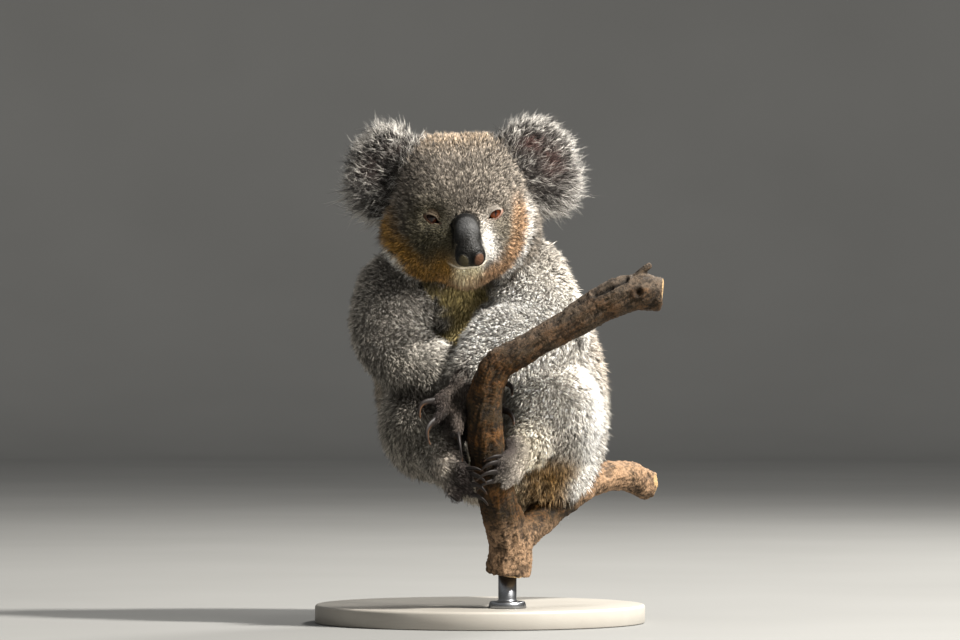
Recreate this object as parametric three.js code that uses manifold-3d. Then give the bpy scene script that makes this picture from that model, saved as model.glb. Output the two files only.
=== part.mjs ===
// A life-size koala sitting in the fork of a cut branch, on a plain display stand.
// Millimetres, +Z up. The animal faces -Y, so its left side is +X. The origin is the centre of the
// stand's underside. Every solid of the body is the outer shape of the coat.
import * as THREE from "three";
import { mergeVertices } from "three/addons/utils/BufferGeometryUtils.js";
import Module from "manifold-3d";

const wasm = await Module();
wasm.setup();

// ---- Driving dimensions --------------------------------------------------------------------------

const seam = 0.35; // air left between two pieces that touch
const rayReach = 400; // farther than any surface is from its piece's centre
const mergeWithin = 1e-3;

const stand = { radius: 165, height: 18, bevel: 3, sides: 36 };
const rod = { x: 27, y: -88, radius: 9, sides: 12, collarRadius: 17, collarHeight: 7 };

// The head is modelled upright round its own centre, then turned and set on the neck.
const headCentre = [-20, -55, 405];
const headTurn = THREE.MathUtils.degToRad(5.4); // towards the animal's left
const headRoll = THREE.MathUtils.degToRad(2.6); // left ear up
const eyeSpread = 32.5; // from the middle of the face to each eye
const eyeRadius = 8.2;
const earSpread = { left: 76, right: 68 }; // from the middle of the head to the middle of each ear
const earWidth = { left: 48, right: 42 }; // half of each ear's width, the right one turned farther back
const earHeight = 55;
const earTurn = THREE.MathUtils.degToRad(20); // each ear faces outwards by this

const clawRadius = 3.6;
const clawTipRadius = 0.45;

const colours = {
  greyFur: 0x8b857c,
  paleFur: 0xcfc8ba,
  noseSkin: 0x3b3a3e,
  eye: 0x8a4a20,
  claw: 0x2c2622,
  bark: 0x6a4a2c,
  standBoard: 0xd8d5cf,
  standMetal: 0x8e9094,
};

// ---- Fields: functions that are negative inside a form ---------------------------------------------

const v = (x, y, z) => new THREE.Vector3(x, y, z);

// An ellipsoid, with a value close to the distance from its surface.
function ball([cx, cy, cz], [rx, ry, rz]) {
  return (p) => {
    const x = (p.x - cx) / rx;
    const y = (p.y - cy) / ry;
    const z = (p.z - cz) / rz;
    const near = Math.hypot(x, y, z);
    const slope = Math.hypot(x / rx, y / ry, z / rz);
    return slope < 1e-9 ? -Math.min(rx, ry, rz) : (near * (near - 1)) / slope;
  };
}

// A limb between two joints, thick ra at the first and rb at the second.
function limb(a, b, ra, rb) {
  const from = v(...a);
  const along = v(...b).sub(from);
  const share = new THREE.Vector3();
  return (p) => {
    share.copy(p).sub(from);
    const t = THREE.MathUtils.clamp(share.dot(along) / along.lengthSq(), 0, 1);
    return share.addScaledVector(along, -t).length() - THREE.MathUtils.lerp(ra, rb, t);
  };
}

// Forms that run into each other over a width k.
function blend(k, ...fields) {
  return (p) => {
    let near = fields[0](p);
    for (const field of fields.slice(1)) {
      const other = field(p);
      const h = Math.max(k - Math.abs(near - other), 0) / k;
      near = Math.min(near, other) - (h * h * k) / 4;
    }
    return near;
  };
}

// A form with a hollow in it, whose lip is rounded over a width k.
function hollowed(k, form, hollow) {
  return (p) => {
    const outer = form(p);
    const inner = -hollow(p);
    const h = Math.max(k - Math.abs(outer - inner), 0) / k;
    return Math.max(outer, inner) + (h * h * k) / 4;
  };
}

// ---- Closed geometries -----------------------------------------------------------------------------

function onlyPositions(geometry) {
  geometry.deleteAttribute("normal");
  geometry.deleteAttribute("uv");
  return mergeVertices(geometry, mergeWithin);
}

// The surface of a field, seen along rays from a centre inside it. stretch lengthens the ball of rays
// along the line towards aim, so that a long form gets even faces.
function shell(field, centre, detail, aim = null, stretch = 1) {
  const geometry = onlyPositions(new THREE.IcosahedronGeometry(1, detail));
  const place = geometry.getAttribute("position");
  const middle = v(...centre);
  const turn = new THREE.Quaternion();
  if (aim) turn.setFromUnitVectors(v(0, 0, 1), v(...aim).sub(middle).normalize());
  const ray = new THREE.Vector3();
  const point = new THREE.Vector3();
  for (let i = 0; i < place.count; i++) {
    ray.fromBufferAttribute(place, i);
    ray.z *= stretch;
    ray.normalize().applyQuaternion(turn);
    let inside = 0;
    let outside = rayReach;
    for (let reach = 4; reach < rayReach; reach += 4) {
      if (field(point.copy(middle).addScaledVector(ray, reach)) > 0) {
        outside = reach;
        break;
      }
      inside = reach;
    }
    for (let step = 0; step < 24; step++) {
      const half = (inside + outside) / 2;
      if (field(point.copy(middle).addScaledVector(ray, half)) > 0) outside = half;
      else inside = half;
    }
    point.copy(middle).addScaledVector(ray, inside);
    place.setXYZ(i, point.x, point.y, point.z);
  }
  return geometry;
}

// A closed rod round a curve. radiusAt gives the radius at a share u of the length and an angle round
// it, side is the direction of the section's first axis, and flat narrows the section along it.
function rodAlong(points, radiusAt, sides, steps, side = [1, 0, 0], flat = 1, from = 0, to = 1) {
  const curve = new THREE.CatmullRomCurve3(points.map((p) => v(...p)));
  const geometry = onlyPositions(new THREE.CylinderGeometry(1, 1, 1, sides, steps));
  const place = geometry.getAttribute("position");
  const sideways = v(...side);
  for (let i = 0; i < place.count; i++) {
    const x = place.getX(i);
    const z = place.getZ(i);
    const u = from + (to - from) * (place.getY(i) + 0.5);
    const tangent = curve.getTangentAt(u);
    const across = sideways.clone().addScaledVector(tangent, -sideways.dot(tangent)).normalize();
    const up = across.clone().cross(tangent);
    const radius = radiusAt(u, Math.atan2(z, x));
    const point = curve.getPointAt(u);
    point.addScaledVector(across, x * radius * flat).addScaledVector(up, z * radius);
    place.setXYZ(i, point.x, point.y, point.z);
  }
  return geometry;
}

// The same surface, moved out by the seam.
function grown(geometry) {
  const copy = geometry.clone();
  copy.computeVertexNormals();
  const place = copy.getAttribute("position");
  const normal = copy.getAttribute("normal");
  for (let i = 0; i < place.count; i++) {
    place.setXYZ(
      i,
      place.getX(i) + normal.getX(i) * seam,
      place.getY(i) + normal.getY(i) * seam,
      place.getZ(i) + normal.getZ(i) * seam,
    );
  }
  copy.deleteAttribute("normal");
  return copy;
}

// ---- Solids ----------------------------------------------------------------------------------------

function solidOf(geometry) {
  const made = new wasm.Mesh({
    numProp: 3,
    vertProperties: new Float32Array(geometry.getAttribute("position").array),
    triVerts: new Uint32Array(geometry.index.array),
  });
  return new wasm.Manifold(made);
}

const joined = (geometries) => geometries.map(solidOf).reduce((a, b) => a.add(b));

function geometryOf(solid, origin) {
  const mesh = solid.getMesh();
  const geometry = new THREE.BufferGeometry();
  geometry.setAttribute("position", new THREE.BufferAttribute(mesh.vertProperties, 3));
  geometry.setIndex(new THREE.BufferAttribute(mesh.triVerts, 1));
  geometry.translate(-origin[0], -origin[1], -origin[2]);
  geometry.computeVertexNormals();
  return geometry;
}

const largestBody = (solid) =>
  solid.decompose().reduce((a, b) => (a.volume() > b.volume() ? a : b));

const materials = Object.fromEntries(
  Object.entries(colours).map(([name, colour]) => [
    name,
    new THREE.MeshStandardMaterial({
      color: colour,
      roughness: { eye: 0.1, noseSkin: 0.5, claw: 0.3, standMetal: 0.35 }[name] ?? 0.9,
      metalness: name === "standMetal" ? 1 : 0,
    }),
  ]),
);

const koala = new THREE.Group();
const perch = new THREE.Group();
const display = new THREE.Group();
const placed = []; // what later pieces are cut back from

// Adds one named piece. Its forms are joined, and it gives way to every piece added before it.
function add(group, name, material, origin, ...forms) {
  let solid = joined(forms);
  const box = solid.boundingBox();
  for (const other of placed) {
    const apart = [0, 1, 2].some(
      (axis) => other.box.min[axis] > box.max[axis] || other.box.max[axis] < box.min[axis],
    );
    if (!apart) solid = solid.subtract(other.solid);
  }
  const room = joined(forms.map(grown));
  placed.push({ solid: room, box: room.boundingBox() });
  const mesh = new THREE.Mesh(geometryOf(largestBody(solid), origin), materials[material]);
  mesh.name = name;
  mesh.position.set(...origin);
  group.add(mesh);
}

// ---- Stand -----------------------------------------------------------------------------------------

function addStand() {
  const rim = [
    [0, 0],
    [stand.radius, 0],
    [stand.radius, stand.height - stand.bevel],
    [stand.radius - stand.bevel, stand.height],
    [0, stand.height],
  ];
  const outline = rim.map(([r, z]) => new THREE.Vector2(r, z));
  const board = new THREE.LatheGeometry(outline, stand.sides).rotateX(Math.PI / 2);
  add(display, "stand_base", "standBoard", [0, 0, 0], onlyPositions(board));

  const foot = [rod.x, rod.y, stand.height + seam];
  const top = branchFoot[2] - seam;
  const collar = new THREE.CylinderGeometry(
    rod.collarRadius, rod.collarRadius + 2, rod.collarHeight, rod.sides,
  );
  collar.rotateX(Math.PI / 2).translate(foot[0], foot[1], foot[2] + rod.collarHeight / 2);
  const length = top - foot[2];
  const bar = new THREE.CylinderGeometry(rod.radius, rod.radius, length, rod.sides);
  bar.rotateX(Math.PI / 2).translate(foot[0], foot[1], foot[2] + length / 2);
  add(display, "stand_rod", "standMetal", foot, onlyPositions(collar), onlyPositions(bar));
}

// ---- Perch -----------------------------------------------------------------------------------------

const branchFoot = [27, -88, 52];
const branchLine = [
  branchFoot,
  [30, -92, 80],
  [20, -110, 116],
  [10, -128, 155],
  [5, -140, 195],
  [4, -147, 222],
  [8, -153, 243],
  [20, -158, 261],
  [46, -161, 275],
  [79, -163, 293],
  [103, -165, 308],
  [124, -167, 320],
  [150, -169, 329],
  [177, -170, 326],
];
// A broken twig near the upper end.
const stubLine = [
  [147, -169, 336],
  [155, -170, 347],
  [166, -171, 356],
];
const seatLine = [
  [24, -98, 76],
  [50, -58, 97],
  [80, -14, 121],
  [118, 34, 142],
  [146, 66, 144],
  [170, 96, 134],
];

// The branch's radius at even steps along it, from its foot: it swells again round a knot near the end.
const branchGirth = [23, 20.5, 18.5, 18, 17.6, 16.4, 15, 14.4, 15.5, 19, 16.2];
const seatGirth = [17, 16, 15.5, 15.5, 15, 15];

// The radius at a share u of the length, with low flutes round it.
function barkRadius(girth) {
  return (u, angle) => {
    const place = u * (girth.length - 1);
    const before = Math.min(Math.floor(place), girth.length - 2);
    const radius = THREE.MathUtils.lerp(girth[before], girth[before + 1], place - before);
    return radius * (1 + 0.03 * Math.sin(3 * angle + u * 9));
  };
}

function addPerch() {
  const stem = barkRadius(branchGirth);
  const seat = barkRadius(seatGirth);
  const pieces = [
    ["perch_fork", 0, 0.2, 3],
    ["perch_stem", 0.2, 0.53, 5],
    ["perch_elbow", 0.53, 0.68, 4],
    ["perch_branch", 0.68, 1, 6],
  ];
  const length = new THREE.CatmullRomCurve3(branchLine.map((p) => v(...p))).getLength();
  const slit = seam / length;
  for (const [name, from, to, steps] of pieces) {
    const start = from ? from + slit : 0;
    const forms = [rodAlong(branchLine, stem, 9, steps, [0, -1, 0], 1, start, to)];
    if (name === "perch_branch") forms.push(rodAlong(stubLine, (u) => 4.6 - 1.8 * u, 6, 2));
    add(perch, name, "bark", branchFoot, ...forms);
  }
  add(perch, "perch_seat", "bark", seatLine[0], rodAlong(seatLine, seat, 8, 8, [0, 0, 1]));
}

// ---- Paws ------------------------------------------------------------------------------------------

const roundEnded = (thick, thin) => (u) =>
  THREE.MathUtils.lerp(thick, thin, u) * Math.sqrt(Math.max(1 - ((u - 0.45) / 0.6) ** 4, 0.2));

const digit = (points, thick, thin) =>
  rodAlong(points, roundEnded(thick, thin), 5, 2, [0.3, 0.2, 0.93]);

// A claw, deeper than it is wide, that curves from the toe to a blunt point.
function claw(points, radius = clawRadius) {
  const a = v(...points[0]);
  const bend = v(...points[1]).sub(a).cross(v(...points[2]).sub(a)).normalize();
  const taper = (u) => clawTipRadius + (radius - clawTipRadius) * Math.sqrt(1 - u) * (1 - 0.35 * u);
  return rodAlong(points, taper, 4, 2, bend.toArray(), 0.75);
}

// Each paw: its palm, its digits from the palm outwards, and the claws at their ends. A claw starts
// inside its digit.
const paws = {
  hand_left: {
    palm: ball([-17, -124, 229], [16, 15, 21]),
    centre: [-17, -124, 229],
    digits: [
      [[-22, -128, 232], [-34, -140, 228], [-47, -148, 222], 8.4, 6.4],
      [[-24, -132, 224], [-36, -146, 214], [-45, -153, 202], 8.8, 6.8],
      [[-20, -134, 218], [-23, -152, 202], [-21, -160, 188], 8, 6],
      [[-10, -116, 236], [8, -112, 240], [24, -124, 240], 7, 5],
      [[-8, -114, 222], [10, -112, 218], [23, -126, 213], 7, 5],
    ],
    claws: [
      [[-45, -147, 223], [-58, -152, 217], [-58, -152, 206]],
      [[-44, -152, 204], [-51, -159, 193], [-48, -158, 180]],
      [[-21, -159, 190], [-19, -167, 177], [-17, -166, 164]],
      [[23, -123, 240], [30, -132, 236], [31, -138, 227]],
      [[22, -125, 214], [31, -134, 208], [33, -140, 199]],
    ],
  },
  hand_right: {
    palm: ball([-27, -102, 204], [16, 13, 19]),
    centre: [-27, -102, 204],
    digits: [
      [[-20, -104, 212], [-6, -108, 210], [9, -112, 206], 7, 5.2],
      [[-20, -103, 202], [-6, -107, 197], [10, -110, 192], 7, 5.2],
      [[-22, -103, 194], [-8, -107, 186], [8, -109, 179], 7, 5.2],
      [[-30, -106, 210], [-30, -122, 208], [-23, -132, 204], 7, 5],
      [[-30, -106, 200], [-31, -122, 194], [-25, -134, 189], 7, 5],
    ],
    claws: [
      [[8, -112, 206], [18, -114, 203], [23, -120, 196]],
      [[9, -110, 192], [19, -112, 188], [24, -118, 181]],
      [[7, -109, 179], [16, -112, 174], [20, -118, 167]],
      [[-24, -131, 204], [-19, -138, 201], [-17, -142, 195]],
      [[-26, -133, 189], [-21, -141, 186], [-19, -144, 180]],
    ],
  },
  foot_left: {
    palm: ball([36, -131, 172], [18, 17, 20]),
    centre: [36, -131, 172],
    digits: [
      [[34, -142, 174], [26, -158, 170], [14, -165, 162], 7.5, 5.6],
      [[34, -142, 166], [24, -158, 160], [13, -164, 153], 8, 5.8],
      [[32, -138, 160], [21, -152, 152], [11, -158, 144], 8, 6],
      [[38, -138, 160], [32, -152, 147], [22, -159, 138], 8.5, 6.5],
    ],
    claws: [
      [[16, -164, 163], [6, -170, 160], [0, -168, 154]],
      [[14, -163, 154], [3, -168, 151], [-4, -165, 145]],
      [[12, -157, 145], [2, -161, 141], [-4, -157, 135]],
      [[22, -158, 168], [10, -168, 168], [3, -168, 164]],
    ],
  },
  foot_right: {
    palm: ball([-27, -130, 158], [17, 17, 21]),
    centre: [-27, -130, 158],
    digits: [
      [[-24, -142, 160], [-16, -156, 157], [-6, -161, 151], 7.5, 5.6],
      [[-24, -142, 152], [-16, -155, 147], [-6, -159, 141], 8, 5.8],
      [[-24, -138, 146], [-16, -150, 138], [-5, -154, 131], 8, 6],
      [[-30, -138, 146], [-27, -148, 134], [-20, -153, 125], 8.5, 6.5],
    ],
    claws: [
      [[-8, -160, 152], [1, -166, 149], [6, -163, 143]],
      [[-8, -158, 142], [2, -163, 138], [7, -160, 132]],
      [[-7, -153, 132], [3, -157, 127], [8, -153, 121]],
      [[-13, -156, 156], [-2, -165, 157], [5, -164, 153]],
    ],
  },
};

function addPaws() {
  for (const [name, paw] of Object.entries(paws)) {
    paw.claws.forEach((points, i) => {
      add(koala, `${name}_claw_${i + 1}`, "claw", points[0], claw(points));
    });
  }
  for (const [name, paw] of Object.entries(paws)) {
    const forms = paw.digits.map((d) => digit(d.slice(0, 3), d[3], d[4]));
    add(koala, name, "greyFur", paw.centre, shell(paw.palm, paw.centre, 1), ...forms);
  }
}

// ---- Head ------------------------------------------------------------------------------------------

const headPose = new THREE.Matrix4().compose(
  v(...headCentre),
  new THREE.Quaternion().setFromEuler(new THREE.Euler(0, -headRoll, headTurn, "ZYX")),
  v(1, 1, 1),
);
const inHead = (x, y, z) => v(x, y, z).applyMatrix4(headPose).toArray();

function addHeadPiece(name, material, centre, ...forms) {
  const turned = forms.map((form) => form.applyMatrix4(headPose));
  add(koala, name, material, inHead(...centre), ...turned);
}

function addNose() {
  const field = blend(
    9,
    ball([-1, -66, -9], [12.5, 11, 11.5]),
    ball([-1, -79, -22], [13.6, 11, 17]),
    ball([-1, -87, -36], [12, 9, 11]),
    ball([-9, -84, -41], [6.5, 8, 8]),
    ball([7, -84, -41], [6.5, 8, 8]),
  );
  addHeadPiece("nose", "noseSkin", [-1, -76, -22], shell(field, [-1, -76, -22], 2));
}

function addEye(name, side) {
  const centre = [side * eyeSpread, -51.5, 0.5];
  const eye = new THREE.IcosahedronGeometry(eyeRadius, 1).translate(...centre);
  addHeadPiece(name, "eye", centre, onlyPositions(eye));
}

// A broad round ear, thick with hair and hollow in front, with a fringe that hangs down outside it.
function addEar(name, side, spread, width) {
  const disc = blend(
    22,
    ball([0, 0, 0], [width, 21, 46]),
    ball([side * (width - 31), 2, -31], [32, 16, 37]),
  );
  const field = hollowed(12, disc, ball([side * 2, -27, -4], [25, 17, 27]));
  const form = shell(field, [side * 4, 2, -6], 3);
  form.rotateZ(side * earTurn).translate(side * spread, 10, earHeight);
  addHeadPiece(name, "greyFur", [side * spread, 10, earHeight], form);
}

function addHead() {
  const socket = (side) => ball([side * eyeSpread, -62, 0.5], [10, 7, 7.5]);
  const skull = blend(
    24,
    ball([22, 8, 17], [46, 68, 67]),
    ball([-22, 8, 17], [46, 68, 67]),
    ball([34, -8, -20], [44, 52, 44]),
    ball([-34, -8, -20], [44, 52, 44]),
    ball([0, -30, 14], [44, 30, 34]),
    ball([0, -54, -38], [31, 31, 26]),
    ball([0, -48, -51], [24, 27, 17]),
  );
  const field = hollowed(4, hollowed(4, skull, socket(1)), socket(-1));
  addHeadPiece("head", "greyFur", [0, 0, 0], shell(field, [0, -5, -4], 5));
}

// ---- Limbs and trunk -------------------------------------------------------------------------------

// Joints as left and right, each [x, y, z].
const shoulder = { left: [48, 6, 336], right: [-82, 8, 330] };
const elbow = { left: [72, -62, 287], right: [-92, -56, 280] };
const elbowRadius = { left: 40, right: 36 };
const wrist = { left: [-15, -114, 246], right: [-38, -92, 236] };
const hip = { left: [66, 30, 200], right: [-46, 24, 198] };
const knee = { left: [66, -78, 214], right: [-52, -74, 198] };
const ankle = { left: [44, -122, 176], right: [-34, -118, 162] };

const middleOf = (a, b) => a.map((value, i) => (value + b[i]) / 2);

// A limb piece of one cone and the muscle on it, even faces along its length.
function addLimb(name, a, b, ra, rb, detail, stretch, ...muscles) {
  const field = blend(20, limb(a, b, ra, rb), ...muscles);
  const middle = middleOf(a, b);
  add(koala, name, "greyFur", middle, shell(field, middle, detail, b, stretch));
}

function addArms() {
  const fore = { left: ball([26, -82, 283], [46, 32, 38]), right: ball([-62, -76, 257], [44, 32, 32]) };
  const upper = { left: ball([48, -42, 320], [46, 42, 42]), right: ball([-84, -38, 304], [44, 42, 42]) };
  for (const side of ["left", "right"]) {
    addLimb(`forearm_${side}`, elbow[side], wrist[side], elbowRadius[side], 23, 2, 1.6, fore[side]);
  }
  for (const side of ["left", "right"]) {
    addLimb(`upper_arm_${side}`, shoulder[side], elbow[side], 46, 36, 2, 1.3, upper[side]);
  }
}

function addLegs() {
  for (const side of ["left", "right"]) {
    addLimb(`shin_${side}`, knee[side], ankle[side], 31, 24, 1, 1.3);
  }
  addLimb("thigh_left", hip.left, knee.left, 56, 50, 2, 1.2, ball([68, -52, 202], [52, 56, 64]));
  addLimb("thigh_right", hip.right, knee.right, 54, 46, 2, 1.2, ball([-49, -43, 200], [47, 52, 60]));
}

function addTrunk() {
  const neck = ball([-14, -6, 348], [60, 60, 40]);
  add(koala, "neck", "greyFur", [-14, -6, 348], shell(neck, [-14, -6, 348], 1));
  // The part of the rump that hangs over the front of the seat limb.
  const rump = ball([62, -8, 143], [47, 68, 34]);
  const field = blend(
    40,
    ball([24, 34, 186], [92, 82, 72]),
    ball([62, 38, 206], [65, 68, 88]),
    ball([8, 10, 232], [92, 84, 92]),
    ball([-14, 12, 300], [84, 62, 66]),
    ball([2, 46, 262], [88, 76, 90]),
    ball([-10, 24, 322], [74, 58, 54]),
    ball([42, 20, 354], [45, 42, 50]),
    ball([-70, 20, 340], [44, 42, 50]),
    ball([58, 46, 256], [60, 60, 70]),
    ball([-50, 20, 226], [52, 56, 50]),
    rump,
  );
  const over = shell(rump, [62, -8, 143], 2);
  add(koala, "trunk", "greyFur", [5, 20, 240], shell(field, [5, 20, 240], 3), over);
}

// ---- Assembly --------------------------------------------------------------------------------------

addStand();
addPerch();
addPaws();
addNose();
addEye("eye_left", 1);
addEye("eye_right", -1);
addEar("ear_left", 1, earSpread.left, earWidth.left);
addEar("ear_right", -1, earSpread.right, earWidth.right);
addHead();
addArms();
addLegs();
addTrunk();

const model = new THREE.Group();
model.add(display, perch, koala);
export default model;
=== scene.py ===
"""A life-size koala on a cut branch, held by a plain display stand.

One skin is grown from the solids of the body and lies inside them by the depth of the coat. The
coat is closed spindles of mesh that follow the lie of the fur. Metres, +Z up, the animal faces -Y.
"""

import math

import bmesh
import bpy
import numpy as np
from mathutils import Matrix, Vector, noise
from mathutils.bvhtree import BVHTree
from mathutils.kdtree import KDTree


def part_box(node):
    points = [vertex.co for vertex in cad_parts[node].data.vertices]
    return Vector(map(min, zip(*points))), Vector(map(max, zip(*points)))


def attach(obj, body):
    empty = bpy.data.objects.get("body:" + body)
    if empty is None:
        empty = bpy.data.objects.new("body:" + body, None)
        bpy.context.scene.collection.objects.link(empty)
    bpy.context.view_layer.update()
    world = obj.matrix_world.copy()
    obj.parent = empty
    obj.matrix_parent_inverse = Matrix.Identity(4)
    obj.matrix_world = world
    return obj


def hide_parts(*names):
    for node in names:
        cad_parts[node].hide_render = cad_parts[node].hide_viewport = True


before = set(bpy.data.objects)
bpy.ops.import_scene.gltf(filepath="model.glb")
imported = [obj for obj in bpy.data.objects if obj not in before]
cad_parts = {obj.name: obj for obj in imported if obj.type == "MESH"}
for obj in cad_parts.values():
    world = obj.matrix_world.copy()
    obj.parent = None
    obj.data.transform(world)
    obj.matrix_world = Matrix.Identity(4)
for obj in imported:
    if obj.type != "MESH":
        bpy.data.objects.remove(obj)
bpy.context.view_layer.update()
rng = np.random.default_rng(11)

MM = 0.001
SIDES = {"left": 1, "right": -1}  # and which way each lies along x

# ---- Sizes, in millimetres unless a name says otherwise ------------------------------------------

SEAM = 0.6  # each solid grows by this before they are joined, to close the air between them
SKIN_VOXEL = 1.7
PART_VOXEL = 2.6
SKIN_FACES = 110_000
BARK_VOXEL = 1.6
BARK_ROOM = 0.8  # the gap between the skin and the perch
FACE_DEPTH = 3.0  # how deep the coat is round the nose, the mouth and the eyes
DEEPEST = 0.3  # the most of a part's thickness that its coat may take
INSET_STEPS = 5
PART_SPOTS, NOSE_SPOTS = 1600, 2000  # how many points stand for the surface of a solid
MIDLINE = -5  # the x that parts the trunk's left coat from its right
EYE_RADIUS = 8.2
EYE_OPENING = (6.9, 3.1)  # half the width and half the height between the lids
EYE_SLANT = math.radians(32)  # the outer corner is higher than the inner one
EYE_INWARD, EYE_LOW = 1.6, 1.5  # the opening's middle lies inwards of the ball's and under it
EYE_SHIFT = {1: (-3.2, 0.7), -1: (0.0, -1.4)}  # each eye against its solid ball, left and right

# For each part of the body: how deep its coat is, how long its hairs are, how many degrees they
# stand off the skin, and how many rounds of smoothing take the facets off its solid.
COAT = {
    "head": (5.5, 5.8, 54, 0),
    "ear": (8.5, 12.0, 48, 14),
    "neck": (8.0, 9.5, 48, 12),
    "trunk": (8.5, 10.5, 50, 16),
    "upper_arm": (7.5, 8.4, 54, 14),
    "forearm": (6.5, 7.6, 54, 14),
    "hand": (0.6, 3.0, 26, 0),
    "thigh": (7.5, 8.6, 54, 16),
    "shin": (5.5, 7.4, 50, 10),
    "foot": (1.0, 4.6, 30, 0),
}
BULKY = ("neck", "trunk", "upper_arm", "forearm", "thigh", "shin")  # rounded parts without hollows


def part_of(node):
    return node.replace("_left", "").replace("_right", "")


FLESH = [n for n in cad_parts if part_of(n) in COAT]
PERCH = [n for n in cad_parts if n.startswith("perch_")]
CLAWS = [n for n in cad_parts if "_claw_" in n]


# ---- Colours, given as sRGB and used as linear light ---------------------------------------------


def linear(code):
    value = np.array([int(code[i : i + 2], 16) for i in (0, 2, 4)]) / 255
    return np.where(value <= 0.04045, value / 12.92, ((value + 0.055) / 1.055) ** 2.4)


FUR = linear("928c83")
ARM_FUR = linear("e8e1d5")
HEAD_FUR = linear("766e64")
DARK_FUR = linear("2e2723")
CREAM = linear("e3d8c2")
CHIN = linear("f3e6bb")
WHITE_FUR = linear("f4f0e8")
OLIVE = linear("4b4634")
TAN = linear("8f7b63")
RUFOUS = linear("967657")
RUFOUS_DARK = linear("a0772f")
GOLDEN = linear("967440")
CHEST = linear("a89868")
EAR_GREY = linear("3d3936")
EAR_BARE = linear("55291f")
EAR_PALE = linear("ddd8cf")
PAW_BROWN = linear("2f2826")
PAW_GREY = linear("574e47")
PAW_PALE = linear("bcb2a5")
PAD = linear("352c2b")
LID = linear("84675a")
LID_PALE = linear("7f786f")
LID_BROWN = linear("5f4130")
LIP = linear("cdc2ad")
NOSE = linear("363636")
NOSE_LOW = linear("0b0a08")
NOSE_RIM = linear("050505")
NOSTRIL = linear("4e3526")
NOSTRIL_OLIVE = linear("3b3524")
CLAW = linear("1a1614")
CLAW_AMBER = linear("6a4a30")
IRIS = linear("74391a")
IRIS_RIM = linear("2a1409")
EYE_BROWN = linear("150c08")
BARK = linear("291e0e")
BARK_DARK = linear("0e0905")
BARK_GREY = linear("564b40")
BARK_ORANGE = linear("5e3b16")
BARK_PALE = linear("92765c")
WOOD = linear("c9a878")
NOSE_SPECK = linear("8b857c")
BOARD = linear("8a857d"), linear("959189")
METAL = linear("7c7e82"), linear("a3a5a8")
PAPER = linear("767674"), linear("7a7a78")

# ---- Numbers over a mesh -------------------------------------------------------------------------


def arrays(me):
    """A mesh's places, and its triangles over welded vertices."""
    me.calc_loop_triangles()
    co = np.empty(len(me.vertices) * 3)
    me.vertices.foreach_get("co", co)
    tri = np.empty(len(me.loop_triangles) * 3, np.int32)
    me.loop_triangles.foreach_get("vertices", tri)
    co, back = np.unique(np.round(co.reshape(-1, 3), 7), axis=0, return_inverse=True)
    tri = back.reshape(-1)[tri].reshape(-1, 3)
    whole = (tri[:, 0] != tri[:, 1]) & (tri[:, 1] != tri[:, 2]) & (tri[:, 2] != tri[:, 0])
    return co, tri[whole]


def unit(v):
    return v / np.maximum(np.linalg.norm(v, axis=-1, keepdims=True), 1e-12)


def face_normals(co, tri):
    return np.cross(co[tri[:, 1]] - co[tri[:, 0]], co[tri[:, 2]] - co[tri[:, 0]])


def summed(index, values, size):
    return np.stack([np.bincount(index, values[:, k], size) for k in range(values.shape[1])], 1)


def vertex_normals(co, tri):
    cross = face_normals(co, tri)
    total = sum(summed(tri[:, k], cross, len(co)) for k in range(3))
    return unit(total)


def edges_of(tri):
    pairs = np.sort(np.concatenate([tri[:, [0, 1]], tri[:, [1, 2]], tri[:, [2, 0]]]), axis=1)
    return np.unique(pairs, axis=0)


def averaged(values, edges, rounds, share=0.5):
    """Values at the vertices, each drawn towards the mean of its neighbours."""
    flat = values.reshape(len(values), -1).astype(float)
    count = np.maximum(np.bincount(edges.ravel(), minlength=len(flat)), 1)[:, None]
    for _ in range(rounds):
        near = summed(edges[:, 0], flat[edges[:, 1]], len(flat))
        near += summed(edges[:, 1], flat[edges[:, 0]], len(flat))
        flat = flat + share * (near / count - flat)
    return flat.reshape(values.shape)


def relaxed(co, edges, rounds):
    """Takes facets off a surface and keeps its size."""
    for _ in range(rounds):
        co = averaged(co, edges, 1, 0.55)
        co = averaged(co, edges, 1, -0.57)
    return co


def smoothstep(low, high, x):
    t = np.clip((x - low) / (high - low), 0, 1)
    return t * t * (3 - 2 * t)


def tree_of(points, numbers):
    """A tree that finds the nearest of some points by its number."""
    tree = KDTree(len(points))
    for i, point in zip(numbers, points):
        tree.insert(point, i)
    tree.balance()
    return tree


def spread_over(co, tri):
    """A random point on each triangle."""
    share = rng.dirichlet((1, 1, 1), len(tri))
    return (co[tri] * share[:, :, None]).sum(1)


def blob(points, centre, radii):
    """1 at a centre, falling off smoothly to 0 at about twice the radii."""
    return np.exp(-0.7 * (((points - np.array(centre)) / np.array(radii)) ** 2).sum(-1))


def blobs(points, spots):
    """The sum of some blobs, each given as its centre, its radii and its strength."""
    return sum(strength * blob(points, centre, radii) for centre, radii, strength in spots)


def ridge(x, width):
    """1 where a value is 0, falling off on either side of it."""
    return np.exp(-((x / width) ** 2))


def towards(colour, shade, share):
    """Colours drawn towards a shade, by a share at each place."""
    return colour + (shade - colour) * np.reshape(share, (-1, 1))


def lumps(points, size, seed=0.0):
    """A slow random value about -1 to 1 at each point, with lumps of this size."""
    at = points / size + seed
    total = np.zeros(len(points))
    for k in range(3):
        turn = np.array([[0.36, 0.48, -0.8], [-0.8, 0.6, 0.0], [0.48, 0.64, 0.6]])
        at = at @ turn.T + 1.7 * k + 0.3
        total += np.sin(at[:, 0] * 1.9 + 1.3 * np.sin(at[:, 1] * 1.3)) * np.cos(at[:, 2] * 1.6)
    return total / 2


# ---- Mesh objects --------------------------------------------------------------------------------


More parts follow.
